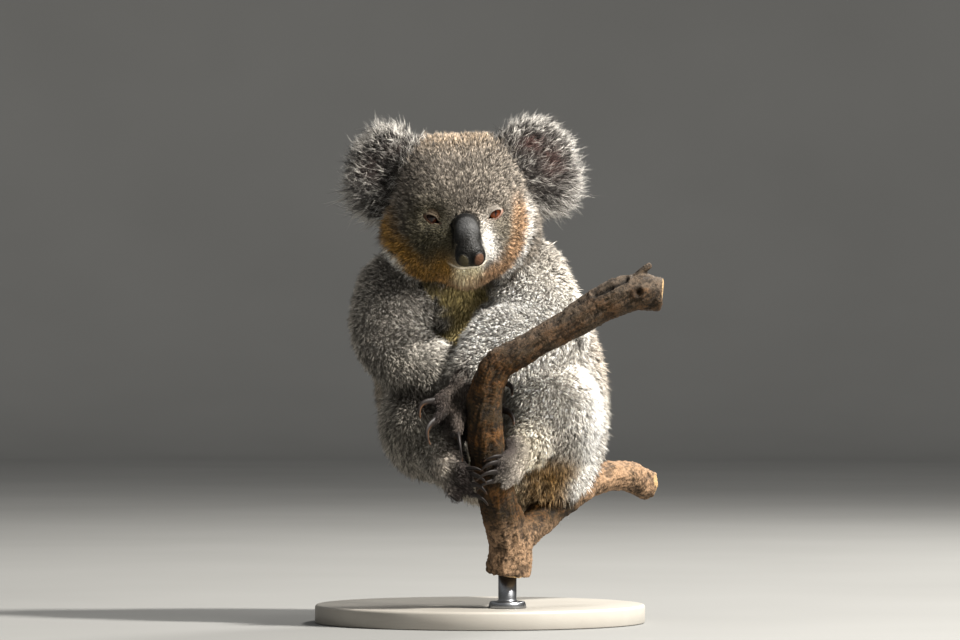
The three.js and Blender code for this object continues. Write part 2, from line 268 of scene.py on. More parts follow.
def object_from(name, co, faces, smooth=True):
    """A mesh object from places and equal-sided faces."""
    me = bpy.data.meshes.new(name)
    count, sides = faces.shape
    me.vertices.add(len(co))
    me.vertices.foreach_set("co", np.ascontiguousarray(co, np.float32).ravel())
    me.loops.add(count * sides)
    me.loops.foreach_set("vertex_index", np.ascontiguousarray(faces, np.int32).ravel())
    me.polygons.add(count)
    me.polygons.foreach_set("loop_start", np.arange(0, count * sides, sides, dtype=np.int32))
    me.update(calc_edges=True)
    me.polygons.foreach_set("use_smooth", np.full(count, smooth))
    ob = bpy.data.objects.new(name, me)
    bpy.context.scene.collection.objects.link(ob)
    return ob


def painted(ob, colours, name="coat"):
    layer = ob.data.color_attributes.new(name, "FLOAT_COLOR", "POINT")
    rgba = np.ones((len(colours), 4), np.float32)
    rgba[:, :3] = np.clip(colours, 0, 1)
    layer.data.foreach_set("color", rgba.ravel())


def finished(ob, material, slot, *nodes):
    """The last steps for every piece: its material, its body and what it stands for."""
    ob.data.materials.append(material)
    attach(ob, "root")
    if nodes:
        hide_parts(*nodes)
    return ob


def changed(co, tri, kind, **settings):
    """A mesh after one modifier."""
    ob = object_from("scratch", co, tri)
    change = ob.modifiers.new("change", kind)
    for name, value in settings.items():
        setattr(change, name, value)
    seen = ob.evaluated_get(bpy.context.evaluated_depsgraph_get())
    result = arrays(seen.to_mesh())
    seen.to_mesh_clear()
    bpy.data.meshes.remove(ob.data)
    return result


def remeshed(co, tri, voxel):
    """The outer surface of closed, overlapping solids, as an even mesh."""
    return outer_body(*changed(co, tri, "REMESH", mode="VOXEL", voxel_size=voxel))


def thinned(co, tri, faces):
    """The same surface in fewer triangles, fewest where it is flat."""
    return changed(co, tri, "DECIMATE", ratio=min(1.0, faces / len(tri)))


def cut_from(co, tri, tool_co, tool_tri):
    """A mesh with another one's room taken out of it."""
    tool = object_from("tool", tool_co, tool_tri)
    result = changed(co, tri, "BOOLEAN", operation="DIFFERENCE", solver="MANIFOLD", object=tool)
    bpy.data.meshes.remove(tool.data)
    return outer_body(*result)


def outer_body(co, tri):
    """The largest connected piece of a mesh."""
    edges = edges_of(tri)
    label = np.arange(len(co))
    while True:
        low = np.minimum(label[edges[:, 0]], label[edges[:, 1]])
        new = label.copy()
        np.minimum.at(new, edges[:, 0], low)
        np.minimum.at(new, edges[:, 1], low)
        new = new[new]
        if (new == label).all():
            break
        label = new
    kept = label == np.bincount(label).argmax()
    index = np.cumsum(kept) - 1
    return co[kept], index[tri[kept[tri[:, 0]]]]


def taken_from(bm):
    """The places and triangles of an editable mesh, which is then given up."""
    me = bpy.data.meshes.new("scratch")
    bm.to_mesh(me)
    bm.free()
    result = arrays(me)
    bpy.data.meshes.remove(me)
    return result


def hull(co):
    """The rounded form round a bulky part, which fills what its neighbours cut out of it."""
    bm = bmesh.new()
    for place in co:
        bm.verts.new(place)
    bmesh.ops.convex_hull(bm, input=bm.verts)
    bmesh.ops.delete(bm, geom=[v for v in bm.verts if not v.link_faces], context="VERTS")
    bmesh.ops.recalc_face_normals(bm, faces=bm.faces)
    return taken_from(bm)


def solids(names):
    """The named solids, each grown by the seam, as one mesh."""
    places, faces, offset = [], [], 0
    for name in names:
        co, tri = arrays(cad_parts[name].data)
        if part_of(name) in BULKY:
            co, tri = hull(co)
        rounds = COAT.get(part_of(name), (0,))[-1]
        if rounds:
            co, tri = remeshed(co, tri, PART_VOXEL * MM)
            co = averaged(co, edges_of(tri), rounds)
        places.append(co + vertex_normals(co, tri) * SEAM * MM)
        faces.append(tri + offset)
        offset += len(co)
    return np.concatenate(places), np.concatenate(faces)


# ---- The head's own axes, from the eyes ----------------------------------------------------------


def centre_of(node):
    low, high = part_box(node)
    return np.array((low + high) / 2)


EYES = {side: centre_of(f"eye_{side}") for side in SIDES}
HEAD_X = unit(EYES["left"] - EYES["right"])
HEAD_Y = unit(np.cross([0, 0, 1], HEAD_X))
HEAD_Z = np.cross(HEAD_X, HEAD_Y)
HEAD_AXES = np.stack([HEAD_X, HEAD_Y, HEAD_Z])
EYE_DEPTH = -51.5  # from the middle of the head to the eyes, along the head's own y
HEAD_CENTRE = (EYES["left"] + EYES["right"]) / 2 - HEAD_Y * EYE_DEPTH * MM


def to_head(points):
    """Millimetres in the head's own axes: x to its left, y backwards, z up."""
    return (points - HEAD_CENTRE) @ HEAD_AXES.T / MM


def from_head(points):
    return np.asarray(points) * MM @ HEAD_AXES + HEAD_CENTRE


# ---- Skin ----------------------------------------------------------------------------------------


class Regions:
    """Which solid of the body lies nearest a point."""

    def __init__(self):
        self.names = sorted(FLESH)
        spots, owners = [], []
        for i, name in enumerate(self.names):
            co, tri = arrays(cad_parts[name].data)
            area = np.linalg.norm(face_normals(co, tri), axis=1)
            pick = rng.choice(len(tri), PART_SPOTS, p=area / area.sum())
            spots.append(spread_over(co, tri[pick]))
            owners.append(np.full(PART_SPOTS, i))
        self.owners = np.concatenate(owners)
        self.tree = tree_of(np.concatenate(spots), range(len(self.owners)))

    def of(self, points):
        return self.owners[[self.tree.find(p)[1] for p in points]]

    def number(self, labels, column):
        table = np.array([COAT[part_of(n)][column] for n in self.names], float)
        return table[labels]


def face_share(points):
    """1 round the nose and the mouth, 0 on the rest of the head."""
    at = to_head(points)
    muzzle = blob(at, (0, -78, -32), (27, 30, 27))
    eyes = sum(blob(at, (side * 33, -56, 0), (17, 16, 15)) for side in (-1, 1))
    return np.clip(1.25 * muzzle + 1.0 * eyes, 0, 1)


def thickness(co, tri):
    """How thick the body is under each vertex, measured straight in."""
    far = 200 * MM
    inwards = -vertex_normals(co, tri)
    tree = BVHTree.FromPolygons(co.tolist(), tri.tolist())
    starts = co + inwards * 0.3 * MM
    hits = (tree.ray_cast(p, d, far)[3] for p, d in zip(starts.tolist(), inwards.tolist()))
    return np.array([far if hit is None else hit for hit in hits])


def bare_skin(regions):
    """The outer solids of the body, moved in by the depth of the coat."""
    whole = [*FLESH, "nose", "eye_left", "eye_right"]
    co, tri = remeshed(*solids(whole), SKIN_VOXEL * MM)
    edges = edges_of(tri)
    label = regions.of(co)
    rounds = averaged(np.where(regions.number(label, 3) > 0, 8.0, 4.0), edges, 8)
    for level in range(8):
        co = co + (averaged(co, edges, 1) - co) * np.clip(rounds - level, 0, 1)[:, None]
    depth = regions.number(label, 0)
    depth = depth + (FACE_DEPTH - depth) * face_share(co)
    depth = np.minimum(averaged(depth, edges, 10), DEEPEST * thickness(co, tri) / MM)
    depth = averaged(depth, edges, 8)
    for _ in range(INSET_STEPS):
        co = co - vertex_normals(co, tri) * (depth * MM / INSET_STEPS)[:, None]
        co = relaxed(co, edges, 2)
    co, tri = remeshed(co, tri, SKIN_VOXEL * MM)
    co = relaxed(co, edges_of(tri), 4)
    return thinned(co, tri, SKIN_FACES)


def refined(co, tri, levels):
    """Cuts faces finer inside balls, each given as (centre, radius)."""
    ob = object_from("scratch", co, tri)
    bm = bmesh.new()
    bm.from_mesh(ob.data)
    bpy.data.meshes.remove(ob.data)
    for balls in levels:
        near = [
            e
            for e in bm.edges
            if any((e.verts[0].co - Vector(c)).length < r for c, r in balls)
        ]
        bmesh.ops.subdivide_edges(bm, edges=near, cuts=1, use_grid_fill=True, smooth=0.0)
        bmesh.ops.triangulate(bm, faces=[f for f in bm.faces if len(f.verts) > 3])
    return taken_from(bm)


EYE_X, EYE_Y, EYE_Z = to_head(EYES["left"])


def eye_middle(side):
    """An eye's place in the head's own axes: side is 1 for the left and -1 for the right."""
    across, up = EYE_SHIFT[side]
    return np.array([side * EYE_X + across, EYE_Y, EYE_Z + up])


def from_eye(at, side):
    """How far each place is from an eye's middle, seen from in front."""
    x, _, z = eye_middle(side)
    return np.hypot(at[:, 0] - x, at[:, 2] - z)


def eye_place(at, side):
    """Places about one eye: outwards and up along the slanted lids, and how far out of the opening,
    where 1 is the edge of the lids."""
    middle = eye_middle(side)
    out = side * (at[:, 0] - middle[0])
    up = at[:, 2] - middle[2]
    along = out * math.cos(EYE_SLANT) + up * math.sin(EYE_SLANT) + EYE_INWARD
    over = up * math.cos(EYE_SLANT) - out * math.sin(EYE_SLANT) + EYE_LOW
    wide, high = EYE_OPENING
    narrow = np.where(along < 0, 1 - 0.55 * smoothstep(0, wide, -along), 1)
    return along, over, np.hypot(along / wide, over / (high * narrow))


# Forms beside the left eye and on the left cheek: middle, reach and how far each stands out.
BROWS = [
    ((30, -60, 13), (17, 12, 6), 2.6),
    ((31, -62, -14), (13, 12, 6), 1.4),
    ((19, -62, -4), (6, 14, 10), -2.5),
]
CHEEKS = [((17, -76, -40), (9, 12, 10), 1.0)]
LID_THICK = 0.8
EYE_BEHIND = 3.0  # how far inside the ball the skin goes on behind the opening
MERGE = 5  # how near to each other the lids and the face run together


def mirrored(forms, side):
    """Forms of the left side of the head, or their mirror images where side is -1."""
    return [((side * x, y, z), reach, height) for (x, y, z), reach, height in forms]


def mouth_line(x):
    """How low the lips meet, at a distance from the middle of the face."""
    return -51.3 + 0.019 * (x + 2) ** 2 + 1.4 * ridge(x, 4)


def sculpted(co):
    """Adds lids, brows, lips and cheeks to the bare skin."""
    at = to_head(co)
    front = smoothstep(-30, -42, at[:, 1])
    for side in (1, -1):
        at[:, 1] -= front * blobs(at, mirrored(BROWS, side))
        _, over, rim = eye_place(at, side)
        spread = from_eye(at, side)
        on_eye = EYE_Y - np.sqrt(np.maximum(EYE_RADIUS**2 - spread**2, 4.0))
        thick = LID_THICK + 0.5 * smoothstep(0, 4, over)
        lid = EYE_Y - np.sqrt(np.maximum((EYE_RADIUS + thick) ** 2 - spread**2, 0.0))
        lid = lid + 0.6 * np.maximum(spread - EYE_RADIUS - thick, 0)
        apart = np.clip(1 - np.abs(lid - at[:, 1]) / MERGE, 0, 1)
        skin = np.minimum(lid, at[:, 1]) - apart**2 * MERGE / 4
        skin = skin + 0.8 * ridge(rim - 1.75, 0.14) * smoothstep(-1, 3, over)
        skin = skin + (at[:, 1] - skin) * smoothstep(2.2, 3.2, rim)
        inside = on_eye + EYE_BEHIND
        new = inside + (skin - inside) * smoothstep(0.97, 1.05, rim)
        near = (rim < 3.3) & (at[:, 1] < -30)
        at[near, 1] = new[near]
    x, z = at[:, 0], at[:, 2]
    below = z - mouth_line(x)
    width = smoothstep(22, 12, np.abs(x)) * smoothstep(-48, -60, at[:, 1])
    groove = 2.0 * ridge(below, 1.0)
    lip = ridge(below - 2.6, 1.8) + ridge(below + 3.4, 2.4)
    at[:, 1] += width * (groove - lip)
    at[:, 1] -= 1.5 * sum(blobs(at, mirrored(CHEEKS, side)) for side in (1, -1))
    return from_head(at)


def eye_balls(radius):
    return [(tuple(from_head(eye_middle(s) - (0, 5, 0))), radius * MM) for s in (1, -1)]


def mouth_balls(radius):
    return [(tuple(from_head((x, -76, -50))), radius * MM) for x in (-12, 0, 12)]


regions = Regions()
perch_co, perch_tri = remeshed(*solids(PERCH), BARK_VOXEL * MM)
perch_co = averaged(perch_co, edges_of(perch_tri), 6)
room = perch_co + vertex_normals(perch_co, perch_tri) * BARK_ROOM * MM
skin_co, skin_tri = cut_from(*bare_skin(regions), room, perch_tri)
finer = [eye_balls(21) + mouth_balls(16), eye_balls(15) + mouth_balls(9), eye_balls(11)]
skin_co, skin_tri = refined(skin_co, skin_tri, finer)
skin_co = sculpted(skin_co)
skin_edges = edges_of(skin_tri)
skin_normal = vertex_normals(skin_co, skin_tri)
skin_label = regions.of(skin_co)
skin_part = np.array([part_of(n) for n in regions.names])[skin_label]
skin_at = to_head(skin_co)

# ---- Lie of the coat -----------------------------------------------------------------------------

# Which way the hairs point on the parts whose own places do not say it.
FLOWS = {
    "trunk": (0, 0.1, -1),
    "neck": (0, 0.3, -1),
    "upper_arm_left": (-0.25, -0.2, -1),
    "upper_arm_right": (-0.1, -0.2, -1),
    "forearm_left": (-0.9, -0.3, -0.75),
    "forearm_right": (0.9, -0.3, -0.9),
    "thigh_left": (0, -0.15, -1),
    "thigh_right": (0, -0.15, -1),
}
PARTING = (0, -84, -20)  # where the hairs of the face part, in the head's own axes
EAR_REACH = 36  # how far an ear's root lies from its middle


def tangent(vectors, normals):
    return unit(vectors - normals * (vectors * normals).sum(-1, keepdims=True))


def flow_between(first, second, drop=0.0):
    """From one part to the next along a limb, and somewhat down."""
    return unit(centre_of(second) - centre_of(first)) + np.array([0, 0, -drop])


def ear_root(side):
    """Where an ear leaves the head."""
    middle = centre_of(f"ear_{side}")
    towards_head = from_head((SIDES[side] * 20, 10, 30)) - middle
    return middle + unit(towards_head) * EAR_REACH * MM


def lie_field():
    """Which way the hairs point, over the whole skin."""
    names = np.array(regions.names)[skin_label]
    x, y, z = skin_at.T[:, :, None]
    back = smoothstep(0, 50, y)
    side = np.sign(x) * smoothstep(25, 70, np.abs(x))
    low = smoothstep(10, -50, z)
    head = unit(skin_at - np.array(PARTING)) * (1 - back) + back * np.array([0, 0.2, -1.2])
    flow = (head + side * [0.5, 0, 0] + low * [0, 0, -0.7]) @ HEAD_AXES
    for name, way in FLOWS.items():
        flow[names == name] = way
    for s in SIDES:
        flow[names == f"shin_{s}"] = flow_between(f"shin_{s}", f"foot_{s}", 0.4)
        flow[names == f"hand_{s}"] = flow_between(f"hand_{s}", f"hand_{s}_claw_3")
        flow[names == f"foot_{s}"] = flow_between(f"foot_{s}", f"foot_{s}_claw_2")
        on_ear = names == f"ear_{s}"
        flow[on_ear] = unit(skin_co[on_ear] - ear_root(s))
    flow = averaged(tangent(flow, skin_normal), skin_edges, 25)
    return tangent(flow, skin_normal)


# ---- Markings, with painted light and shade, the same on the skin and on the coat ----------------

# On the body: the middle of a patch, how far it reaches each way, its colour and how strong it is.
BODY_PATCHES = [
    # partly painted light: the left arm and shoulder are paled further where the light falls on them
    ((45, -70, 312), (44, 60, 34), ARM_FUR, 0.8),
    ((22, -96, 300), (48, 60, 34), WHITE_FUR, 0.75),
    ((74, 0, 362), (34, 60, 26), FUR, 0.8),
    # painted shade: olive darkening over the animal's right arm and thigh
    ((-66, -100, 252), (28, 40, 14), OLIVE, 0.3),
    ((-62, -100, 196), (30, 40, 24), OLIVE, 0.35),
    # painted shadow along the crease between the right forearm and the thigh
    ((-70, -96, 230), (34, 24, 7), DARK_FUR, 0.7),
    ((-44, -106, 217), (20, 30, 8), DARK_FUR, 0.8),
    ((60, -70, 134), (30, 40, 24), GOLDEN, 0.95),
    ((107, -40, 276), (9, 44, 18), WHITE_FUR, 0.6),
    ((112, -50, 244), (10, 46, 26), WHITE_FUR, 0.8),
    ((112, -50, 206), (10, 46, 26), WHITE_FUR, 0.85),
    ((106, -45, 166), (12, 46, 26), WHITE_FUR, 0.85),
    ((100, -30, 136), (12, 46, 14), WHITE_FUR, 0.8),
    ((120, 24, 276), (12, 40, 34), TAN, 0.4),
    ((-108, 10, 228), (12, 34, 26), TAN, 0.35),
    ((84, -90, 177), (13, 60, 20), DARK_FUR, 0.38),
    ((96, -60, 281), (4, 40, 6), DARK_FUR, 0.8),
    ((44, -126, 172), (17, 26, 24), CREAM, 1.0),
    ((70, -80, 156), (22, 60, 9), GOLDEN, 0.75),
    ((-28, -135, 160), (9, 20, 24), PAW_GREY, 0.8),
    ((30, 96, 150), (60, 40, 44), CREAM, 0.4),
    ((-60, 60, 120), (46, 50, 26), CREAM, 0.5),
]
CHEST_PATCH = ((-22, -60, 298), (52, 60, 54))
BELLY_PATCH = ((0, -72, 210), (44, 36, 60))
# On the head, in its own axes.
HEAD_PATCHES = [
    ((0, 60, 10), (90, 34, 80), FUR, 0.75),
    ((0, -6, 82), (46, 44, 14), TAN, 0.7),
    ((0, -60, 14), (17, 14, 10), DARK_FUR, 0.4),
    # the grey cheeks: their own olive fur, with painted shade over the head's right side and the nose's
    # painted shadow beside it
    ((-38, -56, -12), (19, 24, 24), OLIVE, 0.8),
    ((-30, -60, -32), (16, 24, 18), OLIVE, 0.8),
    ((36, -58, -20), (10, 22, 16), OLIVE, 0.45),
    ((-21, -74, -26), (9, 16, 20), OLIVE, 0.9),
    # partly painted light: pale fur beside the nose on the left side, paled further where the light falls
    ((18.5, -78, -32), (5, 14, 18), WHITE_FUR, 0.95),
    ((20, -78, -40), (8, 14, 9), WHITE_FUR, 0.8),
    ((-2, -70, -62), (16, 30, 12), CREAM, 1.0),
    ((-2, -76, -60), (12, 24, 9), CHIN, 0.7),
    ((-26, -68, -56), (10, 34, 12), RUFOUS_DARK, 0.95),
    ((21, -68, -55), (6, 34, 9), DARK_FUR, 0.85),
]
# Inside each ear, from its middle: spots of bare skin and how strong they are, and the hollow.
EAR_SPOTS = {
    "left": [((12, -12, 2), (8, 12, 11), 1.0), ((-8, -12, 20), (9, 12, 5), 1.0)],
    "right": [((-12, -12, 2), (8, 12, 11), 0.5), ((8, -12, 20), (9, 12, 5), 0.3)],
}
EAR_HOLLOW = {
    "left": ((-16, -14, -12), (13, 16, 22)),
    "right": ((16, -14, -12), (13, 16, 22)),
}
PAW_PATCHES = [
    ((44, -136, 166), (26, 34, 32), PAW_PALE),
    ((58, -120, 168), (16, 24, 26), CREAM),
    ((28, -140, 178), (10, 40, 11), PAD),
    ((19, -140, 160), (10, 40, 8), PAW_BROWN),
    ((-40, -132, 158), (10, 22, 20), PAW_PALE),
    ((-20, -146, 236), (14, 24, 26), PAW_GREY),
    ((-20, -150, 204), (7, 14, 18), PAW_GREY),
]
# How near each part's fur comes to the pale fur of the arms.
PALE = {"upper_arm": 0.85, "forearm": 1.0, "neck": 0.2, "trunk": 0.3, "thigh": 0.9, "shin": 0.8}
RUFF = (-10, -4, 70)  # the ring of pale fur under the face: its middle's x and z, and its radius


def patched(colour, places, patches):
    for middle, reach, shade, strength in patches:
        share = strength * np.minimum(1, 1.6 * blob(places, middle, reach))
        colour = towards(colour, shade, share)
    return colour


def markings_and_painted_light(places, parts):
    """The middle colour of the coat at each place on the skin."""
    mm = places / MM
    at = to_head(places)
    patchy = 1 + 0.16 * lumps(mm, 16)[:, None]
    pale = averaged(np.array([PALE.get(p, 0.0) for p in parts]), skin_edges, 14)
    # painted light and shade: the animal's left side is kept paler than its right, as if lit from its
    # left
    pale = pale * (0.15 + 0.85 * smoothstep(-30, 20, mm[:, 0]))
    pale = pale * (1 - 0.5 * smoothstep(-70, 0, mm[:, 1]))
    body = patched(towards(FUR, ARM_FUR, pale) * patchy, mm, BODY_PATCHES)
    inner = (parts == "trunk") | (parts == "neck")
    for patch, shade in ((BELLY_PATCH, CREAM), (CHEST_PATCH, CHEST)):
        body = towards(body, shade, np.minimum(1, 1.8 * blob(mm, *patch)) * inner)

    head = patched(HEAD_FUR * patchy, at, HEAD_PATCHES)
    x, z = at[:, 0] - RUFF[0], at[:, 2] - RUFF[1]
    ring = np.hypot(x, np.minimum(z, 0)) / RUFF[2] + 0.03 * lumps(at, 9, 3.0)
    ring = ring + 0.09 * smoothstep(0, -40, x) * smoothstep(0, -30, z)
    low = smoothstep(30, 0, z)
    band = low * smoothstep(0.72, 0.88, ring) * smoothstep(1.05, 1.0, ring)
    band = band * smoothstep(20, -20, at[:, 1])
    fringe = low * smoothstep(1.0, 1.03, ring) * smoothstep(1.11, 1.06, ring)
    fringe = fringe * smoothstep(34, 0, at[:, 1])
    rufous = towards(RUFOUS, RUFOUS_DARK, smoothstep(10, -30, x))
    head = towards(towards(head, rufous, 0.9 * band), WHITE_FUR, 0.75 * fringe)
    on_head = (parts == "head") | ((parts == "neck") & (at[:, 1] < 10) & (at[:, 2] > -66))
    colour = np.where(on_head[:, None], head, body)

    ear = parts == "ear"
    colour[ear] = EAR_GREY
    for side in SIDES:
        from_ear = at - to_head(centre_of(f"ear_{side}"))
        bare = np.minimum(1, 1.2 * blobs(from_ear, EAR_SPOTS[side])) * ear
        hollow = np.minimum(1, 1.3 * blob(from_ear, *EAR_HOLLOW[side])) * ear
        colour = towards(towards(colour, EAR_BARE, 0.85 * bare), DARK_FUR, 0.85 * hollow)
    paw = (parts == "hand") | (parts == "foot")
    colour[paw] = PAW_BROWN
    for middle, reach, shade in PAW_PATCHES:
        share = np.minimum(1, 1.4 * blob(mm, middle, reach)) * paw
        colour = towards(colour, shade, 0.9 * share)
    return colour


# ---- Coat ----------------------------------------------------------------------------------------

# How many tufts each piece of the coat has.
COAT_PIECES = {
    "coat_trunk_left": 20_000,
    "coat_trunk_right": 20_000,
    "coat_arm_left": 27_000,
    "coat_arm_right": 25_000,
    "coat_leg_left": 27_000,
    "coat_leg_right": 23_000,
    "coat_head": 21_000,
    "coat_face_left": 21_000,
    "coat_face_right": 21_000,
    "coat_ear_left": 16_000,
    "coat_ear_right": 16_000,
    "coat_paws": 11_000,
}
# For each kind of piece: half the width of a tuft, how many hairs make a lock, how far a lock may
# turn from the lie of the coat, and how close its tips come together.
LOCKS = {
    "trunk": (0.38, 2, 0.5, 0.4),
    "arm": (0.29, 3, 0.4, 0.4),
    "leg": (0.31, 3, 0.4, 0.4),
    "head": (0.28, 3, 0.5, 0.4),
    "face": (0.2, 4, 0.5, 0.35),
    "ear": (0.18, 3, 0.65, 0.35),
    "paws": (0.24, 4, 0.25, 0.4),
}
LIMB_OF = {"upper_arm": "arm", "forearm": "arm", "thigh": "leg", "shin": "leg"}
LOWER = 0.42  # how much of a tuft lies under its bend
ROOTED = 0.5  # how deep a tuft starts under the skin
# The corners of a tuft are its root, two sides and a back at the bend, and its tip.
TUFT_FACES = np.array([[0, 2, 1], [0, 3, 2], [0, 1, 3], [4, 1, 2], [4, 2, 3], [4, 3, 1]])
TUFT_PATCH = np.array([(-14, 0), (-2, -13), (-2, 13), (-2, 0), (14, 0)]) / 10_000  # on the unwrap
UNWRAP_EDGE = 0.006


def piece_names():
    """The coat piece that each vertex of the skin belongs to."""
    side = np.array([n.rsplit("_", 1)[-1] for n in regions.names])[skin_label]
    names = np.full(len(skin_co), "coat_trunk_right", dtype="<U20")
    names[skin_co[:, 0] > MIDLINE * MM] = "coat_trunk_left"
    for s in SIDES:
        for part, limb in {**LIMB_OF, "ear": "ear"}.items():
            names[(skin_part == part) & (side == s)] = f"coat_{limb}_{s}"
    head = skin_part == "head"
    names[head] = "coat_head"
    face = head & (skin_at[:, 1] < -8) & (skin_at[:, 2] < 52)
    names[face & (skin_at[:, 0] > 0)] = "coat_face_left"
    names[face & (skin_at[:, 0] <= 0)] = "coat_face_right"
    names[(skin_part == "hand") | (skin_part == "foot")] = "coat_paws"
    return names


def bald():
    """1 where no hair grows: on the nose, inside the lids, and in the mouth."""
    co, tri = arrays(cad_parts["nose"].data)
    pick = rng.integers(0, len(tri), NOSE_SPOTS)
    nose = tree_of(spread_over(co, tri[pick]), range(NOSE_SPOTS))
    x, y, z = skin_at.T
    result = np.zeros(len(skin_co))
    for i in np.nonzero((y < -50) & (np.abs(x) < 24))[0]:
        result[i] = nose.find(skin_co[i])[2] < 1.2 * MM
    for side in (1, -1):
        along, over, rim = eye_place(skin_at, side)
        upper = (over > 0) & (from_eye(skin_at, side) < 9.2) & (np.abs(along - 1) < 7.4)
        result[((rim < 1.45) | upper) & (y < -30)] = 1
    lip = np.abs(z - mouth_line(x) + 1.2) < 1.1
    result[lip & (np.abs(x + 3) < 20) & (y < -48)] = 1
    return result


class Roots:
    """Points spread evenly over part of the skin, with what the skin says there."""

    def __init__(self, faces, count):
        area = np.linalg.norm(face_normals(skin_co, skin_tri[faces]), axis=1) * face_weight[faces]
        total = np.cumsum(area)
        steps = (np.arange(count) + rng.random(count)) / count * total[-1]
        self.tri = skin_tri[faces[np.minimum(np.searchsorted(total, steps), len(faces) - 1)]]
        self.share = rng.dirichlet((1, 1, 1), count)

    def of(self, values):
        values = values.reshape(len(values), -1)
        return (values[self.tri] * self.share[:, :, None]).sum(1)

    def one(self, values):
        return self.of(values)[:, 0]


def unwrapped(kind, places):
    """Each root's place on an unwrap of the skin round the middle of its piece, filling 0 to 1."""
    axis = {"arm": HEAD_X * 0.6 + [0, -0.5, -0.6], "ear": HEAD_Y}.get(kind, np.array([0, 0, 1.0]))
    axis = unit(axis)
    first = unit(np.cross(axis, [0.3, 1, 0.1]))
    second = np.cross(axis, first)
    out = places - places.mean(0)
    turn = np.arctan2(out @ first, -(out @ second))
    up = np.arcsin(np.clip(unit(out) @ axis, -1, 1))
    flat = np.stack([turn, up], 1)
    low, high = flat.min(0), flat.max(0)
    return UNWRAP_EDGE + (1 - 2 * UNWRAP_EDGE) * (flat - low) / (high - low)


def leaders(root, per):
    """For each hair the hair that leads its lock: the nearest of one hair in every few."""
    chosen = rng.choice(len(root), max(1, len(root) // per), replace=False)
    tree = tree_of(root[chosen], chosen)
    return np.array([tree.find(p)[1] for p in root])


def tufts(name, roots):
    """One piece of the coat, as closed spindles of six faces each, drawn together into locks."""
    kind = name.split("_")[1]
    width, per, loose, pull = LOCKS[kind]
    count = len(roots.tri)
    root = roots.of(skin_co)
    normal = unit(roots.of(skin_normal))
    flow = tangent(roots.of(skin_lie), normal)
    mm = root / MM
    lock = leaders(root, per)
    own = lambda size: rng.normal(0, size, count)
    free = 1 - roots.one(skin_calm)
    turn = 0.25 * lumps(mm, 10, 5.0) + free * (own(loose)[lock] + own(0.3 * loose))
    flow = flow * np.cos(turn)[:, None] + np.cross(normal, flow) * np.sin(turn)[:, None]
    length = roots.one(skin_length) * (1 + 0.1 * lumps(mm, 8, 9.0)) * rng.uniform(0.75, 1.2, count)
    length = length * np.clip(1 + own(0.16)[lock], 0.6, 1.5)
    fleck = 0.35 * rng.random(count) + 0.65 * rng.random(count)[lock] + 0.12 * lumps(mm, 5.0, 8.0)
    length = length * (1 + 0.15 * smoothstep(0.66, 0.72, fleck))
    if kind == "ear":
        length = length * rng.choice([0.75, 1.2, 1.6], count, p=[0.7, 0.26, 0.04])
    lift = np.radians(roots.one(skin_lift) + free * (own(12)[lock] + own(6)))
    lift = np.clip(lift, 0.12, 1.3)
    bend = 0.9 if kind == "ear" else 0.5
    start, end = (lift + bend / 2)[:, None], (lift - bend / 2)[:, None]
    short = np.ones(count)
    for _ in range(3):
        reach = (length * short * MM)[:, None]
        middle = root + LOWER * reach * (np.cos(start) * flow + np.sin(start) * normal)
        tip = middle + (1 - LOWER) * reach * (np.cos(end) * flow + np.sin(end) * normal)
        middle = middle + (middle[lock] - middle) * pull * 0.4
        tip = tip + (tip[lock] - tip) * pull
        hit = in_perch(tip, 0.5) | in_perch(middle, 0.8)
        short = np.where(hit, short * 0.6, short)
    colours = tuft_colours(name, roots, root, lock, fleck[:, None])[~hit]
    root, normal, middle, tip = (v[~hit] for v in (root, normal, middle, tip))
    count = len(root)
    along = unit(tip - root)
    side = unit(np.cross(normal, along))
    up = np.cross(along, side)
    half = (width * rng.uniform(0.75, 1.25, count) * MM)[:, None]
    under = middle - up * half * 0.25
    corners = [root - normal * ROOTED * MM, under - side * half, under + side * half]
    co = np.stack([*corners, middle + up * half * 0.55, tip], 1)
    faces = (TUFT_FACES[None] + 5 * np.arange(count)[:, None, None]).reshape(-1, 3)
    ob = object_from(name, co.reshape(-1, 3), faces)
    painted(ob, colours.reshape(-1, 3))
    spots = (unwrapped(kind, root)[:, None] + TUFT_PATCH).reshape(-1, 2)[faces.ravel()]
    layer = ob.data.uv_layers.new(name="OFBake")
    layer.data.foreach_set("uv", np.ascontiguousarray(spots, np.float32).ravel())
    return ob


